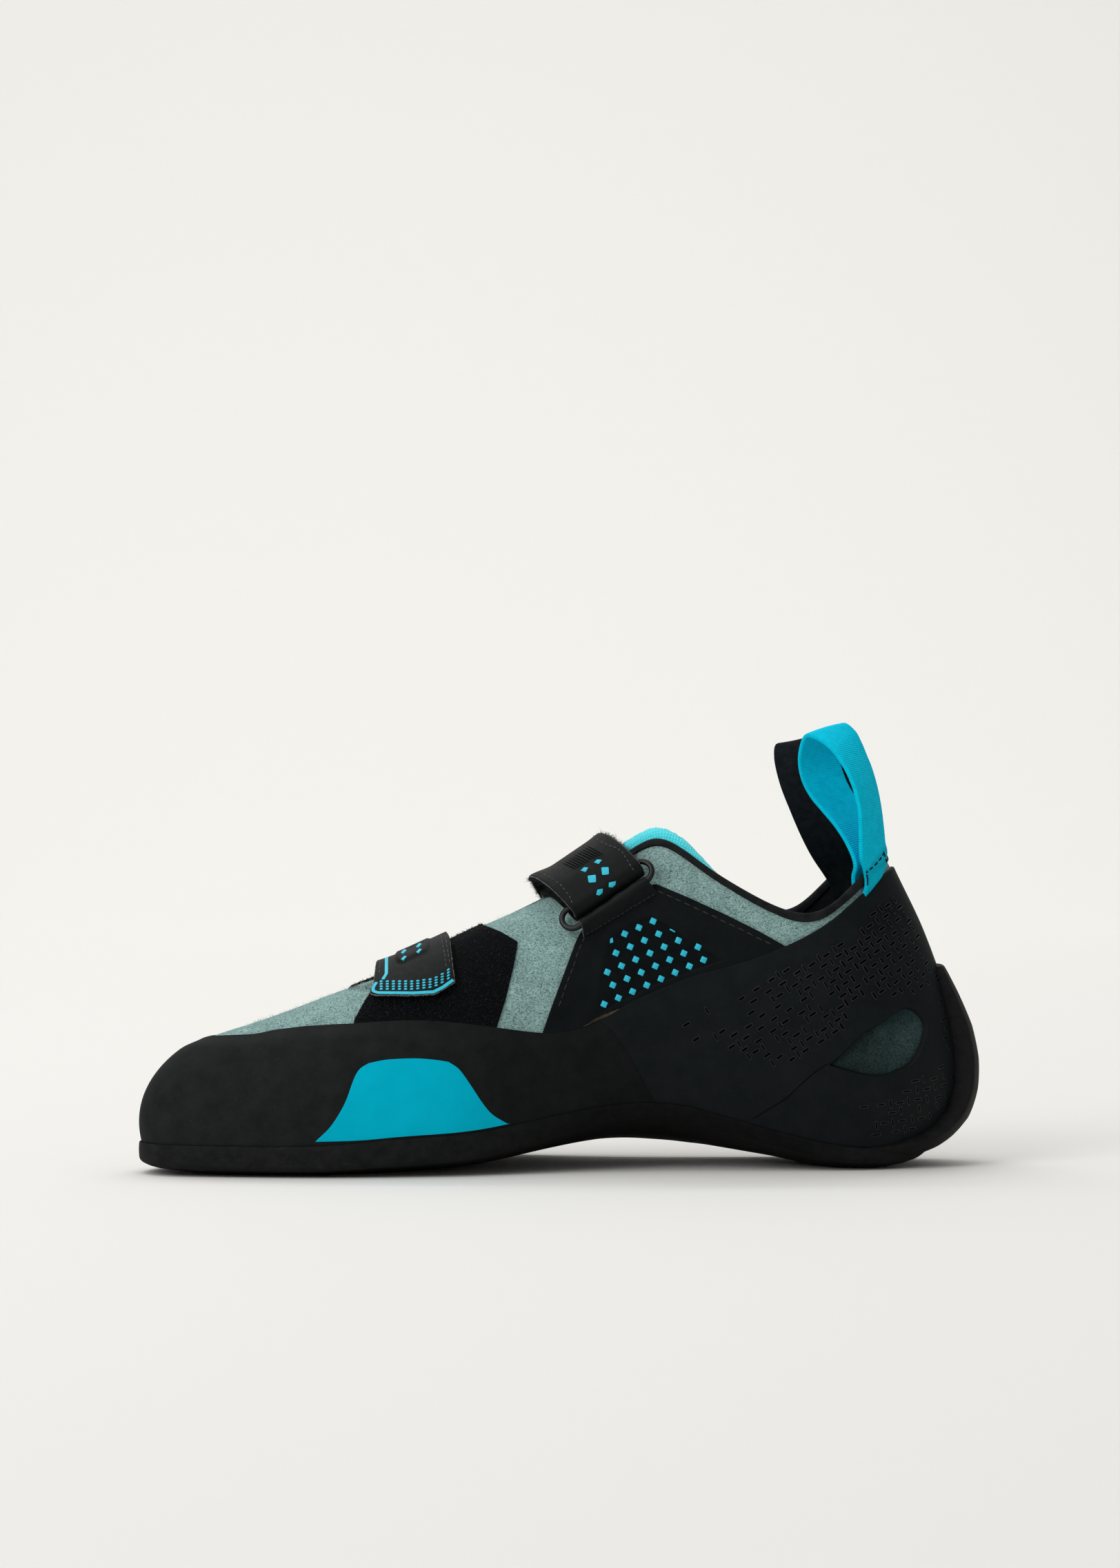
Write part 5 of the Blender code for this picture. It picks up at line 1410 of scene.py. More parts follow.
def edged(under, thick, radius, row_rim, column_rim, emboss=None, thin=None):
    """Outer and inner grids of a sheet of that thickness with rounded edges, read at rim shares."""
    out = normals_of(under)
    (a, drop_a), (b, drop_b) = row_rim, column_rim
    aa, bb = np.meshgrid(a, b, indexing="ij")
    low = read(under, aa, bb)
    n = read(out, aa, bb)
    n /= np.linalg.norm(n, axis=-1, keepdims=True)
    drop = np.minimum(np.maximum(drop_a[:, None], drop_b[None, :]), 50)
    high = np.maximum(0.0, thick - drop)
    if emboss is not None:
        high = np.where(drop > 40, high, high + emboss(low + n * thick) * (1 - soft(bb, 0.40, 0.45)))
    if thin is None:
        return low + n * high[..., None], low
    # The underside thins toward the cut edges.
    rise = np.minimum(thin(aa, bb), thick * 0.75)
    return low + n * np.maximum(high, rise)[..., None], low + n * rise[..., None]


def build_lower_strap():
    under = hook_sheet()
    over = under + normals_of(under) * HOOK_STRAP
    medial = over[:, :52]
    face = sheet_surface(medial)
    boss = ((574, 1389), (575, 1378.8), (590, 1371), (605, 1364), (617, 1359), (623.7, 1362.6), (623, 1371.8), (619, 1380), (600.5, 1388), (582, 1397), (576, 1394))

    def emboss(p):
        d = inside_share(picture(p), boss)
        front = (p[..., 1] > 5) | (p[..., 2] > 60)
        return np.where(front, 0.75 * soft(d, -2.5, 3.0) - 0.25 * soft(d, 6.0, 9.0), 0.0)

    outer, inner = edged(under, HOOK_STRAP, 0.5, rim(84, 29, 0.4), rim(190, 75, 0.4), emboss, lambda a, b: HOOK_STRAP * 0.62 * (1 - soft(np.minimum(b * 2.6, np.minimum(a, 1 - a) * 1.6 + np.maximum(0, b - 0.42) * 4), 0.02, 0.3)))
    slab("lower_strap_band", outer, inner, STRAP_SKIN, slot="strap_synthetic", stands_for="lower_strap")
    # Print: a border round the end, a bar, rows of dashes and four slits on the boss.
    border = ((546, 1424.5), (541.2, 1432), (541.2, 1437.4), (548, 1439.4), (600, 1439.9), (629, 1438.2), (642, 1431.6), (657, 1421))
    seam("lower_strap_border", face, border, 1.18, 0.06, PRINT, None, 90, False, 1.0)
    seam("lower_strap_bar", face, ((560.5, 1388.5), (560.2, 1412), (555, 1420.5)), 1.2, 0.06, PRINT, None, 50, False, 1.0)
    groups = []
    for column in range(12):
        x = 552.8 + column * 8.85
        rise = np.interp(x, (600, 615, 624, 633, 641, 650), (0, 2, 3, 6, 10.5, 17))
        for row in range(4):
            y = 1423.4 + row * 3.7 - rise * (1.0 - 0.03 * row)
            lean = math.radians(-8 - rise * 1.6)
            c, s = math.cos(lean), math.sin(lean)
            ring = [(2.55 * math.copysign(abs(math.cos(t)) ** 0.8, math.cos(t)), 1.2 * math.copysign(abs(math.sin(t)) ** 0.8, math.sin(t))) for t in np.linspace(0, 2 * math.pi, 10, endpoint=False)]
            groups.append(pads(face, [[(x + u * c - w * s, y + u * s + w * c) for u, w in ring[::-1]]], 0.16))
    for x, y in ((586.6, 1382.7), (586.6, 1392), (608.6, 1373.7), (608.6, 1381.6)):
        groups.append(pads(face, [[(x - 4.6, y + 2.2), (x - 0.8, y + 3.2), (x + 4.6, y - 2.2), (x + 0.8, y - 3.2)]], 0.78))
    piece("lower_strap_print", *join(groups), PRINT, weld=False)
    rows = [stitch_lines(face, ((551.5, 1392), (551, 1414)), 4, 2.4, seed=8), stitch_lines(face, ((640, 1357), (644, 1380), (647.5, 1404)), 4, 2.4, seed=10), stitch_lines(face, ((645.5, 1356), (649, 1378), (652, 1398)), 4, 2.4, seed=11)]
    piece("lower_strap_stitches", *beads([x for r in rows for x in r], 0.17), STRAP_THREAD, weld=False)
    mid = under + normals_of(under) * HOOK_STRAP * 0.72
    out = normals_of(under)
    edge = np.concatenate([mid[0, 44:1:-1], mid[:, 0], mid[-1, 1:44]])
    edge_thread("lower_strap_edge", edge, 0.26, GREY_EDGE, 4)
    rng = np.random.default_rng(33)
    b = rng.uniform(0, 0.35, 700)
    a = np.where(rng.random(700) < 0.5, 0.0, 1.0)
    roots = read(under + out * 0.9, a, b)
    piece("lower_strap_fray", *hairs(roots, read(out, a, b) * 0.3 + np.array((1.0, 0.3, 0)) * np.where(a < 0.5, 1.0, -1.0)[:, None], 0.55, 0.04, rng, 0.7), PILE_FIBRE, weld=False, closed=False)


def build_loop_patch():
    """Fuzzy patch that the lower strap's hooks grip, over the ball and past the spine."""
    left = np.stack(SIDE.find(straight_path(((513, 1482), (530, 1452), (546, 1429)), 40)), -1)
    right = np.stack(SIDE.find(straight_path(((718, 1496), (733, 1450), (745, 1400), (751, 1367), (726, 1352.5), (703, 1344)), 40)), -1)
    ribs = np.linspace(left[0, 0], right[0, 0], 60)
    low = np.stack([ribs, np.array([rubber_edge(s) for s in ribs]) - 0.03], -1)
    left[0], right[0] = low[0], low[-1]
    left[-1, 1] = right[-1, 1] = 1.0
    flat = coons(left, right, low, np.linspace(left[-1], right[-1], 60))
    # Past the spine it runs on down the lateral side.
    beyond = np.linspace(0, 1, 16)[1:]
    forward = 8.0 * (1 - np.linspace(0, 1, 60)[:, None]) * np.minimum(1, beyond[None] * 2.6)
    tail = np.stack([ROUND - flat[:, -1:, 0] + forward, np.broadcast_to(1 - 0.22 * beyond[None], (60, 15))], -1)
    both = np.concatenate([flat, tail], 1)
    a, drop_a = rim(80, 45, 0.45)
    b, drop_b = rim(80, 62, 0.45)
    drop = np.minimum(np.maximum(drop_a[:, None], drop_b[None, :]), 50)
    out = np.maximum(0.03, 0.8 - drop)
    medial = coat(flat[..., 0], flat[..., 1], 0.0)
    whole = np.concatenate([medial, coat(tail[..., 0], tail[..., 1], 0.0)], 1)
    aa, bb = np.meshgrid(a, b, indexing="ij")
    base, up = read(whole, aa, bb), read(normals_of(whole), aa, bb)
    up /= np.linalg.norm(up, axis=-1, keepdims=True)
    slab("loop_patch", base + up * out[..., None], base + up * 0.03, LOOP_PILE, slot="strap_synthetic")
    rng = np.random.default_rng(21)
    u, w = rng.random(8800), rng.random(8800) ** 0.9
    normal = read(normals_of(whole), u, w)
    roots = read(whole, u, w) + normal * 0.7
    piece("loop_patch_pile", *hairs(roots, normal, 0.6, 0.088, rng, 1.0), PILE_FIBRE, weld=False, closed=False)


def strap_space(y, n, along):
    y, n, along = np.broadcast_arrays(np.asarray(y, float), np.asarray(n, float), np.asarray(along, float))
    return STRAP_ORIGIN + np.stack([0 * y, y, 0 * y], -1) + STRAP_OUT * n[..., None] + STRAP_ALONG * along[..., None]


def build_upper_strap():
    axis = (RING_LOWER_BAR - RING_UPPER_BAR) / np.linalg.norm(RING_LOWER_BAR - RING_UPPER_BAR)
    out = np.array((-axis[1], axis[0]))
    radius = RING_BAR + GAP + STRAP / 2 + 0.1
    turning = [tuple(RING_UPPER_BAR + radius * (math.cos(a) * -out + math.sin(a) * axis)) for a in np.linspace(0, math.pi, 9)]
    path = np.array(list(STRAP_UNDER) + turning + list(STRAP_OVER))
    path = smooth_path(np.c_[path, path[:, :1] * 0], 260)[:, :2]
    fold = int(np.argmin(np.linalg.norm(path - (RING_UPPER_BAR + radius * axis), axis=1)))
    tangent = np.gradient(path, axis=0)
    tangent /= np.linalg.norm(tangent, axis=1, keepdims=True)
    normal = np.stack([-tangent[:, 1], tangent[:, 0]], 1)
    widths = np.linspace(-1, 1, 41)
    past = soft(np.arange(len(path)), fold + 12, fold + 70)

    def sheet(offset):
        # The doubled end lifts off at its front edge, and both edges curl a little.
        lift = -past[None, :] * (1.5 * soft(-widths, 0.35, 1.0)[:, None] + 0.3 * soft(widths, 0.6, 1.0)[:, None])
        y = path[None, :, 0] + normal[None, :, 0] * (offset + lift)
        n = path[None, :, 1] + normal[None, :, 1] * (offset + lift)
        along = STRAP_DRIFT * np.maximum(path[None, :, 0], 0) + widths[:, None] * STRAP_WIDTH / 2
        return strap_space(y, n, along)

    low, high = sheet(-STRAP / 2), sheet(STRAP / 2)
    a, drop_a = rim(52, 26, 0.4)
    b, drop_b = rim(240, 150, 0.4)
    aa, bb = np.meshgrid(a, b, indexing="ij")
    drop = np.minimum(np.maximum(drop_a[:, None], drop_b[None, :]), 50)
    one, other = read(low, aa, bb), read(high, aa, bb)
    middle = (one + other) / 2
    share = np.maximum(0.0, (STRAP / 2 - drop) / (STRAP / 2))[..., None]
    outer, back = middle + (one - middle) * share, middle + (other - middle) * share
    each = (outer.shape[0] - 1) * (outer.shape[1] - 1)
    # The layer under the doubled end is the fuzzy one on both faces.
    at = b[:-1] * (len(path) - 1)
    inside = (at < fold - 2) & (np.interp(at, np.arange(len(path)), path[:, 0]) > -4.0)
    hidden = np.broadcast_to(inside[None, :], (outer.shape[0] - 1, outer.shape[1] - 1)).astype(int)
    slab("upper_strap_band", outer, back, [STRAP_SKIN, STRAP_BACK], slot="strap_synthetic", stands_for="upper_strap", which=np.concatenate([hidden.ravel(), np.ones(each, int)]))
    face = sheet_surface(low[:, fold:])
    squares = [
        [(861, 1250.7), (866.3, 1246.5), (872.6, 1247.2), (868.2, 1253.2)],
        [(842, 1262.5), (847, 1257.8), (853, 1258.4), (849, 1264.8)],
        [(872, 1259), (873.4, 1258), (881.6, 1257.6), (882.6, 1258.6), (883, 1266.8), (882, 1268), (874.4, 1269), (873, 1268)],
        [(852.2, 1271), (853.4, 1270), (863, 1268.8), (864, 1270), (864.2, 1278.4), (863.2, 1279.4), (854.6, 1280), (853.4, 1279)],
        [(883, 1280), (893, 1277.8), (892.6, 1283), (888.3, 1287), (882.5, 1286.4)],
        [(866.3, 1290.4), (874.2, 1288.8), (873.6, 1295), (868.8, 1298.8), (864.5, 1297.6)],
    ]
    piece("upper_strap_print", *pads(face, [s[::-1] for s in squares], 0.12), PRINT, weld=False)
    # Two groups of slanted ribs pressed in the strap.
    ribs = []
    for start, step, end, last in (((832.0, 1237.6), (3.6, -2.5), (856.5, 1248.4), (4.0, -1.7)), ((814.6, 1250.2), (3.5, -2.4), (836.6, 1260.6), (4.0, -2.1))):
        for k in range(6):
            line = straight_path((np.array(start) + np.array(step) * k, np.array(end) + np.array(last) * k), 9)
            u, w = face.find(line)
            ribs.append(face.at(u, w, np.array((-0.22, 0.0, 0.05, 0.05, 0.05, 0.05, 0.05, 0.0, -0.22))))
    piece("upper_strap_ribs", *beads(ribs, 0.34, 8), STRAP_SKIN, weld=False)
    rows = [
        stitch_lines(face, ((781.7, 1264), (791.9, 1270.3), (803.4, 1276.6), (813.6, 1284), (823.8, 1297), (831, 1312)), 4.2, 2.6, seed=12),
        stitch_lines(face, ((859.5, 1212.5), (866, 1218), (877.3, 1224.3), (892.7, 1229.8), (901.6, 1235.5), (911.8, 1252), (920, 1264)), 4.2, 2.6, seed=13),
    ]
    piece("upper_strap_stitches", *beads([x for r in rows for x in r], 0.17), STRAP_THREAD, weld=False)
    mid = (low + high) / 2
    edge_thread("upper_strap_edge_front", (mid * 0.4 + low * 0.6)[0, fold + 2 :: 2], 0.2, GREY_EDGE, 6)
    edge_thread("upper_strap_edge_rear", (mid * 0.4 + low * 0.6)[-1, fold + 2 :: 2], 0.17, GREY_EDGE, 7)
    rng = np.random.default_rng(41)
    # Hooks inside the doubled end and threads at its cut end.
    u, w = rng.random(2600), rng.uniform(fold + 40, len(path) - 1, 2600) / (len(path) - 1)
    inward = read(high, u, w) - read(low, u, w)
    inward /= np.linalg.norm(inward, axis=1, keepdims=True)
    piece("upper_strap_hooks", *hairs(read(high, u, w), inward, 1.1, 0.06, rng, 0.8), PILE_FIBRE, weld=False, closed=False)
    u = np.concatenate([rng.random(700), np.where(rng.random(1500) < 0.4, 0.0, 1.0)])
    w = np.concatenate([np.ones(700), rng.uniform(0.6, 1.0, 1500)])
    away = read(mid, np.minimum(u, 0.999), w) - read(mid, np.clip(u * 0.9 + 0.05, 0, 1), np.minimum(w, 0.97))
    away /= np.linalg.norm(away, axis=1, keepdims=True) + 1e-9
    piece("upper_strap_fray", *hairs(read(mid, u, w), away, 1.2, 0.06, rng, 0.7), PILE_FIBRE, weld=False, closed=False)


def build_ring():
    gap = RING_LOWER_BAR - RING_UPPER_BAR
    height = np.linalg.norm(gap) / 2
    middle = (RING_UPPER_BAR + RING_LOWER_BAR) / 2
    axis = gap / np.linalg.norm(gap)
    out = np.array((-axis[1], axis[0]))
    straight = RING_LENGTH / 2 - height - RING_BAR
    outline = []
    for side, start in ((1, 0.0), (-1, math.pi)):
        for a in np.linspace(start, start + math.pi, 22):
            outline.append((side * straight + height * math.sin(a), height * math.cos(a)))
    outline = np.array(outline)
    run = np.roll(outline, -1, 0) - np.roll(outline, 1, 0)
    run /= np.linalg.norm(run, axis=1, keepdims=True)
    face = np.stack([-run[:, 1], run[:, 0]], 1)
    sides = 14
    points = np.zeros((len(outline), sides, 3))
    for k in range(sides):
        a = 2 * math.pi * k / sides
        u = math.copysign(abs(math.cos(a)) ** 0.7, math.cos(a)) * RING_BAR * 0.7
        w = math.copysign(abs(math.sin(a)) ** 0.7, math.sin(a)) * RING_BAR * 0.66
        at = outline + face * u
        y, n = middle[0] + axis[0] * at[:, 1] + out[0] * w, middle[1] + axis[1] * at[:, 1] + out[1] * w
        points[:, k] = strap_space(y, n, RING_MIDDLE + at[:, 0]) + np.array((1.1, 0.0, 0.6))
    wrapped = np.concatenate([points, points[:, :1]], 1)
    piece("strap_ring_oval", wrapped.reshape(-1, 3), grid(len(outline), sides + 1, ring=True), RING_PLASTIC, "ring_plastic", "strap_ring")


TAB_LINE = ((846, 1360), (955, 1296))


def build_tab():
    """The panel's end, rolled over the ring's lower bar and sewn down."""
    axis = (RING_UPPER_BAR - RING_LOWER_BAR) / np.linalg.norm(RING_UPPER_BAR - RING_LOWER_BAR)
    out = np.array((-axis[1], axis[0]))
    out = out if out[0] > 0 else -out
    count = 41
    places = straight_path(TAB_LINE, count)
    s, v = PANEL_SKIN.find(places)
    sewn = coat(s, v, PANEL_UP - 0.25)
    far = coat(s, v - 0.02, PANEL_UP - 0.7)
    shares = np.linspace(1, -1, count)
    if sewn[0] @ STRAP_ALONG > sewn[-1] @ STRAP_ALONG:
        pass
    else:
        shares = shares[::-1]
    outer, inner = [], []
    for k in range(count):
        along = RING_MIDDLE + shares[k] * TAB_WIDTH / 2
        rows = {}
        for name, r in (("out", RING_BAR + 0.35 + TAB), ("in", RING_BAR + 0.3)):
            rows[name] = []
            for a in np.linspace(-1.15, 1.0, 16):
                at = RING_LOWER_BAR + r * (math.cos(a * math.pi / 2) * axis + math.sin(a * math.pi / 2) * out)
                rows[name].append(strap_space(at[0], at[1], along))
        end = sewn[k]
        face = rows["out"][-1]
        tail_out = [face + (end - face) * t + 0.0 for t in np.linspace(0, 1, 14)[1:]] + [far[k]]
        n = facing(np.array(s[k]), np.array(v[k]))
        tail_in = [rows["in"][-1] + (end - n * TAB - rows["in"][-1]) * t for t in np.linspace(0, 1, 14)[1:]] + [far[k] - n * TAB * 0.8]
        outer.append(rows["out"] + tail_out)
        inner.append(rows["in"] + tail_in)
    outer, inner = np.array(outer), np.array(inner)
    for side in (outer, inner):
        for _ in range(5):
            side[:, 1:-2] = 0.25 * side[:, :-3] + 0.5 * side[:, 1:-2] + 0.25 * side[:, 2:-1]
    # Pulls and folds from the strap's draw.
    u = np.linspace(0, 1, count)[:, None]
    w = np.linspace(0, 1, outer.shape[1])[None, :]
    dents = 0.18 * np.sin(u * 23 + 1.2 * np.sin(w * 5)) * np.sin(w * math.pi) ** 2 + 0.12 * np.sin(u * 9 + 2)
    outer = outer + normals_of(outer) * (dents * np.sin(w * math.pi))[..., None] * sheet_sign(outer, inner)
    a, drop_a = rim(60, TAB_WIDTH, 0.35)
    b, drop_b = rim(70, 16, 0.3)
    aa, bb = np.meshgrid(a, b, indexing="ij")
    drop = np.minimum(np.maximum(drop_a[:, None], drop_b[None, :]), 50)
    one, other = read(outer, aa, bb), read(inner, aa, bb)
    share = np.maximum(0.0, (TAB - drop) / TAB)[..., None]
    slab("ring_tab_fold", other + (one - other) * share, other, TAB_LIT_SKIN, slot="strap_synthetic", stands_for="ring_tab")
    face = sheet_surface(outer[:, 12:])
    lines = stitch_lines(face, ((850, 1355), (900, 1325.5), (951, 1295.5)), 4.6, 2.6, lift=0.12, seed=15)
    piece("ring_tab_stitches", *beads(lines, 0.2), THREAD, weld=False)
    # A pale line along the tab's front edge: painted highlight.
    edge_thread("ring_tab_edge", np.concatenate([(outer * 0.7 + inner * 0.3)[0, 6:28]]), 0.16, GREY_EDGE, 9)


def sheet_sign(outer, inner):
    """1 or -1, so that a grid's own normals point from the inner grid to the outer."""
    return 1.0 if ((outer - inner) * normals_of(outer)).sum() >= 0 else -1.0


# Pull loops: front and back edge of the webbing in the picture and the middle's depth toward the camera, from the outside
# of the collar over the top to the inside.
LOOP_ROW = ("front_x", "front_y", "back_x", "back_y", "deep")
TURQUOISE_LOOP = (
    (1250, 1306, 1293, 1264, 10.3), (1248, 1272, 1284, 1238, 11.5), (1247, 1212, 1279.6, 1200, 12.2), (1246, 1178, 1276, 1172, 12.4),
    (1242.6, 1160.6, 1272, 1150, 12.3), (1237.5, 1141.6, 1268, 1133, 12.0), (1228.9, 1121, 1262, 1113, 11.2), (1220.2, 1106.3, 1256, 1098, 10.4),
    (1206.5, 1088, 1248, 1078, 9.0), (1189.2, 1074.5, 1239, 1061, 7.0), (1168.6, 1067.6, 1223.7, 1051.2, 4.4), (1160, 1086.5, 1213, 1075, 1.0),
    (1158.2, 1109, 1216, 1100, -0.8), (1163.4, 1133, 1224.5, 1127, -1.4), (1175.5, 1155.4, 1235, 1148, -1.0), (1192.7, 1176, 1247, 1166, 0.2),
    (1211.6, 1198.5, 1259, 1186, 2.0), (1227, 1222.6, 1268, 1208, 3.6), (1237.5, 1246.7, 1275, 1228, 5.0), (1243, 1275, 1279, 1252, 5.6),
    (1246, 1308, 1283, 1284, 5.8),
)
BLACK_LOOP = (
    (1209, 1300, 1254, 1274, -25.2), (1200, 1262, 1247, 1240, -25.8), (1193, 1222, 1246, 1202, -26.2), (1187, 1180, 1245, 1163, -26.2),
    (1180, 1142, 1242, 1126, -25.4), (1158, 1108, 1218, 1094, -23.4), (1128, 1081, 1184, 1068, -19.0), (1122.9, 1100, 1180, 1091, -15.0),
    (1130.7, 1136.5, 1192, 1128, -12.5), (1144.5, 1172.6, 1205, 1160, -12.0), (1160, 1208.8, 1219, 1194, -13.0), (1177, 1241.5, 1232, 1224, -15.0),
    (1199.6, 1276, 1247, 1250, -17.4), (1212, 1304, 1256, 1280, -18.6),
)


def build_loop(name, rows, side, materials, slot, node, sunk=False):
    """A webbing loop sewn outside and inside the collar."""
    path = smooth_path([(r[0], r[1], r[4], r[2], r[3]) for r in rows], 170)
    deep = path[:, 2]
    front, back = from_picture(path[:, :2], deep), from_picture(path[:, 3:], deep)
    flat = np.linalg.norm(front - back, axis=1)
    half = 0.5 * np.sqrt(np.maximum(0.0, LOOP_WIDTH**2 - flat**2)) * side
    half = np.convolve(np.pad(half, 6, mode="edge"), np.ones(13) / 13, mode="valid")
    near_f, near_b = deep + half, deep - half
    front, back = from_picture(path[:, :2], near_f), from_picture(path[:, 3:], near_b)
    spread = np.linspace(0, 1, 21)
    bow = 0.35 * np.sin(spread * math.pi)
    sheet = front[None] + (back - front)[None] * spread[:, None, None]
    sheet = sheet + normals_of(sheet) * bow[:, None, None]
    if sunk:
        # The outer leg's end follows the upper round the heel, over the binding and under the heel rubber.
        first = 46
        above = (path[:first, :2] - (1250.0, 1297.0)) @ np.array((-45.0, -42.0)) / math.hypot(45.0, 42.0)
        lift = np.interp(above, (-8, 0, 4, 9, 16, 24), (0.15, 0.8, 1.8, 2.2, 2.3, 2.3))
        s, v = SIDE.find(path[:first, :2])
        tall = np.linspace(0.55, 1.0, 80)
        rest = np.zeros((len(spread), first, 3))
        for i in range(first):
            pace = np.linalg.norm(coat(s[i] + 1.0, v[i], 2.0) - coat(s[i], v[i], 2.0))
            ribs = s[i] + spread * LOOP_WIDTH / pace
            wall_here = coat(np.repeat(ribs[:, None], len(tall), 1), np.repeat(tall[None], len(ribs), 0), np.full((len(ribs), len(tall)), lift[i]))
            for j in range(len(spread)):
                z = sheet[j, i, 2]
                rest[j, i] = [np.interp(z, wall_here[j, :, 2], wall_here[j, :, c]) for c in range(3)]
                rest[j, i, 2] = z
        free = soft(above, 14, 38)[None, :, None]
        sheet[:, :first] = rest * (1 - free) + sheet[:, :first] * free
        # The inner leg's end lies inside the bound edge.
        ribs = np.linspace(HEEL - 70, HEEL + 40, 221)
        edge = wall(ribs, np.ones_like(ribs))
        inward = -facing(ribs, np.full_like(ribs, 0.985))[:, :2]
        inward /= np.linalg.norm(inward, axis=1, keepdims=True)
        last = sheet[:, 115:]
        nearest = np.argmin(np.linalg.norm(last[:, :, None, :2] - edge[None, None, :, :2], axis=-1), axis=-1)
        inside = np.sum((last[..., :2] - edge[nearest][..., :2]) * inward[nearest], -1)
        need = np.interp(last[..., 2] - edge[nearest][..., 2], (-9, -4, 0.9, 4, 7), (3.0, 3.6, 3.6, 1.5, -1.0))
        push = np.maximum(0.0, need - inside)[..., None] * inward[nearest]
        for _ in range(4):
            padded = np.pad(push, ((1, 1), (1, 1), (0, 0)), mode="edge")
            push = (padded[:-2, 1:-1] + padded[2:, 1:-1] + padded[1:-1, :-2] + padded[1:-1, 2:] + 2 * push) / 6
        last[..., :2] += push
    else:
        # The lateral loop's outer leg does the same on its side.
        first = 34
        ribs, tall = np.linspace(HEEL + 4, HEEL + 84, 90), np.linspace(0.5, 1.0, 80)
        walls = [coat(ribs[:, None], tall[None], out) for out in (0.0, 3.0)]
        rand_z = np.array([coat(r, min(1.0, rubber_edge(r)), 0.0)[2] for r in ribs])
        for i in range(first):
            for j in range(len(spread)):
                x, z = sheet[j, i, 0], sheet[j, i, 2]
                rows_at = []
                for wall_here in walls:
                    line = np.array([[np.interp(z, w[:, 2], w[:, c]) for c in (0, 1)] for w in wall_here])
                    rows_at.append(np.interp(x, line[:, 0], line[:, 1]))
                    if wall_here is walls[0]:
                        above = z - np.interp(x, line[:, 0], rand_z)
                lift = np.interp(above, (-1.8, 0, 0.9, 2.0, 3.5, 5.3), (0.15, 0.8, 1.8, 2.2, 2.3, 2.3)) / 3.0
                free = float(soft(np.array(above), 4.5, 11.0))
                sheet[j, i, 1] = (rows_at[0] * (1 - lift) + rows_at[1] * lift) * (1 - free) + sheet[j, i, 1] * free
    out = normals_of(sheet)
    ra, drop_a = rim(24, LOOP_WIDTH, 0.5)
    rb, drop_b = rim(190, 95, 0.4)
    aa, bb = np.meshgrid(ra, rb, indexing="ij")
    drop = np.minimum(np.maximum(drop_a[:, None], drop_b[None, :]), 50)
    mid, n = read(sheet, aa, bb), read(out, aa, bb)
    n /= np.linalg.norm(n, axis=-1, keepdims=True)
    high = np.maximum(0.0, WEBBING / 2 - drop)[..., None]
    made = slab(name, mid + n * high, mid - n * high, materials, slot=slot, stands_for=node, uv=cut_of(mid))
    if len(materials) > 1:
        centres = np.array([np.array(f.center) / MM + CENTRE for f in made.data.polygons])
        at = picture(centres)
        below = at[:, 1] > 1269 - (at[:, 0] - 1250) * 38 / 31
        made.data.polygons.foreach_set("material_index", (below & (centres @ TOWARD > 7.5 - (at[:, 0] - 1262) * 0.28)).astype(np.int32))
    return sheet, out


def build_loops():
    sheet, out = build_loop("pull_loop_turquoise", TURQUOISE_LOOP, 1, [TURQUOISE_WEB, TEAL_WEB], "turquoise_webbing", "pull_loop_medial", True)
    build_loop("pull_loop_black", BLACK_LOOP, -1, [BLACK_WEB], "black_webbing", "pull_loop_lateral")
    near = sheet[:, :60]
    n = out[:, :60]
    toward = 1.0 if (n @ TOWARD).mean() > 0 else -1.0
    face = sheet_surface(near + n * toward * WEBBING / 2)
    runs = (((1282, 1235), (1275.4, 1246.7), (1263.3, 1258.8), (1251.5, 1269)), ((1253, 1271), (1251.6, 1282), (1250.6, 1293)), ((1253, 1273), (1261.6, 1284.6)), ((1281.4, 1237), (1286, 1254)))
    lines = [x for k, run in enumerate(runs) for x in stitch_lines(face, run, 6.5, 2.0, lift=0.2, seed=50 + k)]
    piece("pull_loop_stitches", *beads(lines, 0.24), LOOP_THREAD, weld=False)


def build_binding():
    """Bound edge of the collar, from the throat round the heel."""
    ribs = np.linspace(THROAT + 16, ROUND - THROAT - 16, 330)
    edge = wall(ribs, np.ones_like(ribs))
    down = wall(ribs, np.full_like(ribs, 0.97)) - edge
    down /= np.linalg.norm(down, axis=1, keepdims=True)
    out = facing(ribs, np.full_like(ribs, 0.985))
    profile = ((0.15, -2.6), (0.8, -2.5), (0.95, -1.5), (0.85, -0.6), (0.4, 0.12), (-0.6, 0.4), (-1.6, 0.25), (-2.5, -0.4), (-2.75, -1.4), (-2.6, -2.6), (-1.9, -2.7))
    rng = np.random.default_rng(5)
    wobble = np.convolve(rng.normal(0, 0.22, len(ribs) + 8), np.ones(9) / 9, mode="valid")
    points = np.stack([edge + out * o - down * (h - (wobble[:, None] if h < -2 else 0)) for o, h in profile], 1)
    n, m = points.shape[:2]
    loop = np.concatenate([points, points[:, :1]], 1)
    flat = loop.reshape(-1, 3)
    faces = [tuple(f) for f in grid(n, m + 1)]
    faces += [tuple(range(m)), tuple((n - 1) * (m + 1) + k for k in range(m - 1, -1, -1))]
    piece("collar_binding", flat, faces, BINDING, "black_webbing")


# How far the tongue stands above the edge of the throat and collar, by rib.
TONGUE_RISE = ((112, -2.5), (140, -2.0), (150, -0.8), (157, 1.8), (163, 4.2), (168, 4.6), (174, 4.0), (180, 3.7), (186, 3.2), (191, 1.6), (196, -0.4), (203, -2.0))


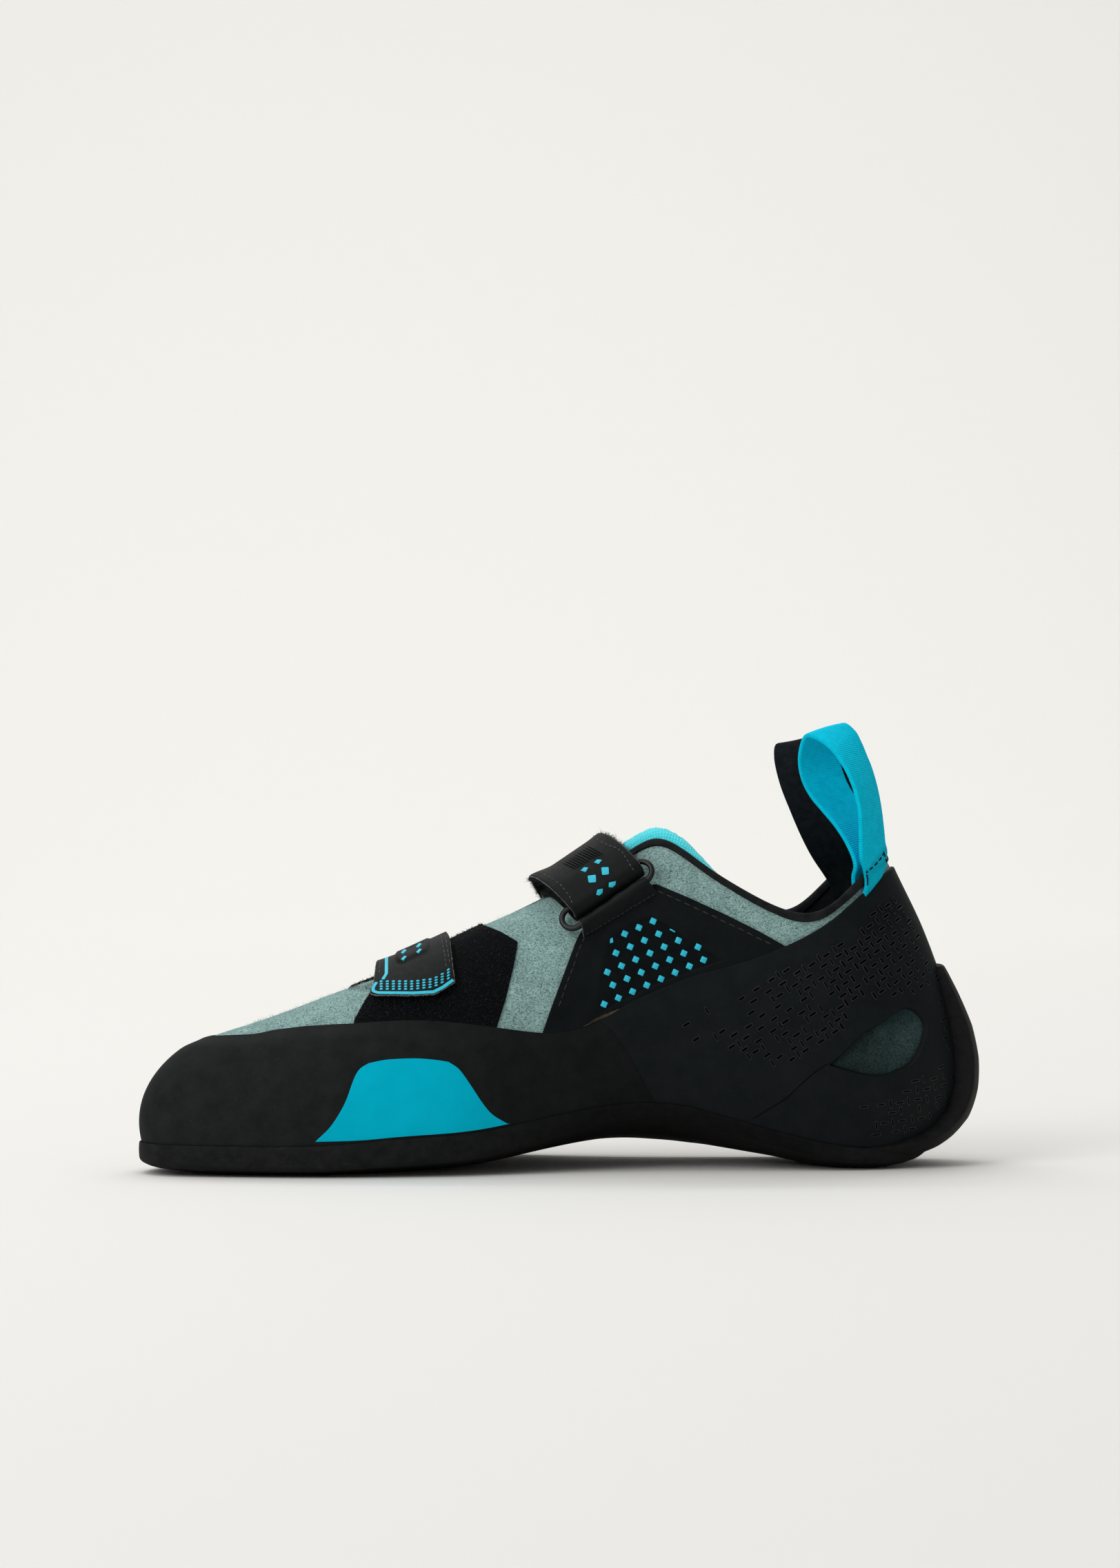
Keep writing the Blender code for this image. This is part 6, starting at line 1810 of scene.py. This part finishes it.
def build_tongue():
    rows, columns = 90, 70
    points = np.zeros((rows, columns, 3))
    for i, s in enumerate(np.linspace(116, 203, rows)):
        rise = np.interp(s, [r[0] for r in TONGUE_RISE], [r[1] for r in TONGUE_RISE])
        route = []
        for rib, up in ((s, rise), (ROUND - s, rise - 0.8)):
            edge = wall(np.array(rib), np.array(1.0))
            inward = -facing(np.array(rib), np.array(0.97))
            inward[2] = 0
            inward /= np.linalg.norm(inward)
            deep = -(UPPER_WALL + GAP + TONGUE / 2 + 1.2)
            low = skin(np.array(rib), np.array(0.78), np.array(deep))
            near = skin(np.array(rib), np.array(0.93), np.array(deep))
            room = min(1.0, max(0.0, (s - 128) / 24))
            brow = edge + inward * (1.2 + 3.0 * room) + np.array((0, 0, up - TONGUE / 2 - 0.2))
            route.append([low, near, brow] if s > 134 else [low, low * 0.5 + brow * 0.5, brow])
        a, b = route
        crown = (a[2] + b[2]) / 2 + np.array((1.5, 0, 0.6 + 0.02 * np.linalg.norm(a[2] - b[2])))
        points[i] = smooth_path(a + [crown] + b[::-1], columns)
    for _ in range(8):
        points[1:-1] = 0.25 * points[:-2] + 0.5 * points[1:-1] + 0.25 * points[2:]
        points[:, 1:-1] = 0.25 * points[:, :-2] + 0.5 * points[:, 1:-1] + 0.25 * points[:, 2:]
    out = -normals_of(points)
    out = out if out[rows // 2, columns // 2, 2] > 0 else -out
    a, drop_a = rim(80, 90, 1.5, 6)
    b, drop_b = rim(80, 70, 1.3, 6)
    aa, bb = np.meshgrid(a, b, indexing="ij")
    mid, n = read(points, aa, bb), read(out, aa, bb)
    n /= np.linalg.norm(n, axis=-1, keepdims=True)
    drop = np.minimum(np.maximum(drop_a[:, None], drop_b[None, :]), 50)
    high = np.maximum(0.0, TONGUE / 2 - drop)[..., None]
    # Loops of the knit stand up unevenly.
    nubs = np.where(drop < 0.01, np.minimum(0.4, 0.2 * np.abs(np.random.default_rng(31).normal(size=drop.shape))), 0.0)[..., None]
    made = slab("tongue_knit", (mid + n * (high + nubs))[:, ::-1], (mid - n * high)[:, ::-1], TONGUE_KNIT, slot="knit", stands_for="tongue", uv=cut_of(mid)[:, ::-1])


def build_fibres():
    """Loose fibres of the suede where it shows against the light, and of worn cut edges."""
    rng = np.random.default_rng(11)
    s = np.concatenate([rng.uniform(26, 128, 3600), rng.uniform(128, 200, 900)])
    v = 1 - np.abs(rng.normal(0, 0.2, len(s)))
    v = np.where(s > 128, rng.uniform(0.78, 0.99, len(s)), v)
    s = np.where((s < 128) & (rng.random(len(s)) < 0.4), ROUND - s, s)
    keep = np.array([vv > rubber_edge(ss) + 0.02 for ss, vv in zip(s, v)])
    s, v = s[keep], v[keep]
    piece("suede_fibres", *hairs(coat(s, v, 0.0), facing(s, v), 0.85, 0.034, rng, 1.0), SUEDE_FIBRE, "suede", weld=False, closed=False)
    places = np.concatenate([np.stack([rng.uniform(505, 546, 260), rng.uniform(1427, 1436, 260)], -1), np.stack([rng.uniform(590, 640, 160), rng.uniform(1474, 1480, 160)], -1)])
    a, b = SIDE.find(places)
    piece("worn_fibres", *hairs(coat(a, b, 0.0), facing(a, b), 0.9, 0.05, rng, 1.2), BROWN_FIBRE, "suede", weld=False, closed=False)
# Floor, light and camera


def build_stage():
    scene = bpy.context.scene
    scene.view_settings.view_transform = "Standard"
    scene.view_settings.look = "None"
    # A pale sweep: flat floor that curves up behind the shoe, seen from +Y.
    bow, depth, height, wide = 1.2, 2.6, 4.0, 8.0
    profile = [(4.0, 0.0), (0.0, 0.0), (-depth, 0.0)]
    profile += [(-depth - bow * math.sin(a), bow * (1 - math.cos(a))) for a in np.linspace(0, math.pi / 2, 24)[1:]]
    profile += [(-depth - bow, bow + height)]
    points, faces = [], []
    for x in (-wide, wide):
        points += [(x, y, z) for y, z in profile]
    n = len(profile)
    for k in range(n - 1):
        faces.append((k, k + 1, n + k + 1, n + k))
    data = bpy.data.meshes.new("sweep")
    data.from_pydata(points, [], faces)
    data.shade_smooth()
    floor = bpy.data.objects.new("sweep", data)
    scene.collection.objects.link(floor)
    k = Look("paper", (0.80, 0.79, 0.757), 0.9, 0.1)
    k.bump(k.noise(1.5, 2), 0.01, 0.3)
    data.materials.append(k.made)

    def lamp(name, place, aim, size, power, colour=(1, 1, 1)):
        light = bpy.data.lights.new(name, "AREA")
        light.shape, light.size, light.size_y = "RECTANGLE", size[0], size[1]
        light.energy, light.color = power, colour
        made = bpy.data.objects.new(name, light)
        made.location = place
        made.rotation_mode = "QUATERNION"
        made.rotation_quaternion = (Vector(aim) - Vector(place)).to_track_quat("-Z", "Y")
        scene.collection.objects.link(made)

    lamp("overhead", (0.35, -0.1, 1.9), (0.0, 0.0, 0.05), (2.0, 1.6), 17)
    lamp("front_left", (1.5, 1.6, 1.3), (0.0, 0.0, 0.05), (1.4, 1.4), 24)
    lamp("back_wash", (0.0, -2.2, 3.2), (0.0, -3.2, 1.0), (5.0, 1.0), 80)
    world = bpy.data.worlds.new("studio")
    scene.world = world
    world.use_nodes = True
    world.node_tree.nodes["Background"].inputs["Color"].default_value = (0.97, 0.98, 1.0, 1)
    world.node_tree.nodes["Background"].inputs["Strength"].default_value = 0.35

    view = bpy.data.cameras.new("camera")
    view.lens, view.sensor_width = LENS, SENSOR
    view.clip_start, view.clip_end = 0.05, 50
    made = bpy.data.objects.new("camera", view)
    made.location = (TOWARD * AWAY + np.array((0, 0, EYE_HEIGHT)) - CENTRE) * MM
    made.rotation_mode = "QUATERNION"
    made.rotation_quaternion = Vector(-TOWARD).to_track_quat("-Z", "Y")
    scene.collection.objects.link(made)
    scene.camera = made


build_upper()
build_toe_rand()
build_heel_rand()
build_dashes()
# A near-black line along the heel rubber's cut: painted shade in the cut.
seam("heel_cut_line", HEEL_SKIN, ((1088, 1625), (1119, 1606), (1141, 1592), (1163, 1571), (1183, 1554), (1205, 1540)), 0.34, -0.02, SLIT_SHADE)
build_turquoise_patch()
build_sole()
build_heel_strip()
build_insole()
build_panel()
build_loop_patch()
build_lower_strap()
build_upper_strap()
build_ring()
build_tab()
build_loops()
build_binding()
build_tongue()
build_fibres()
build_stage()

bpy.context.view_layer.update()
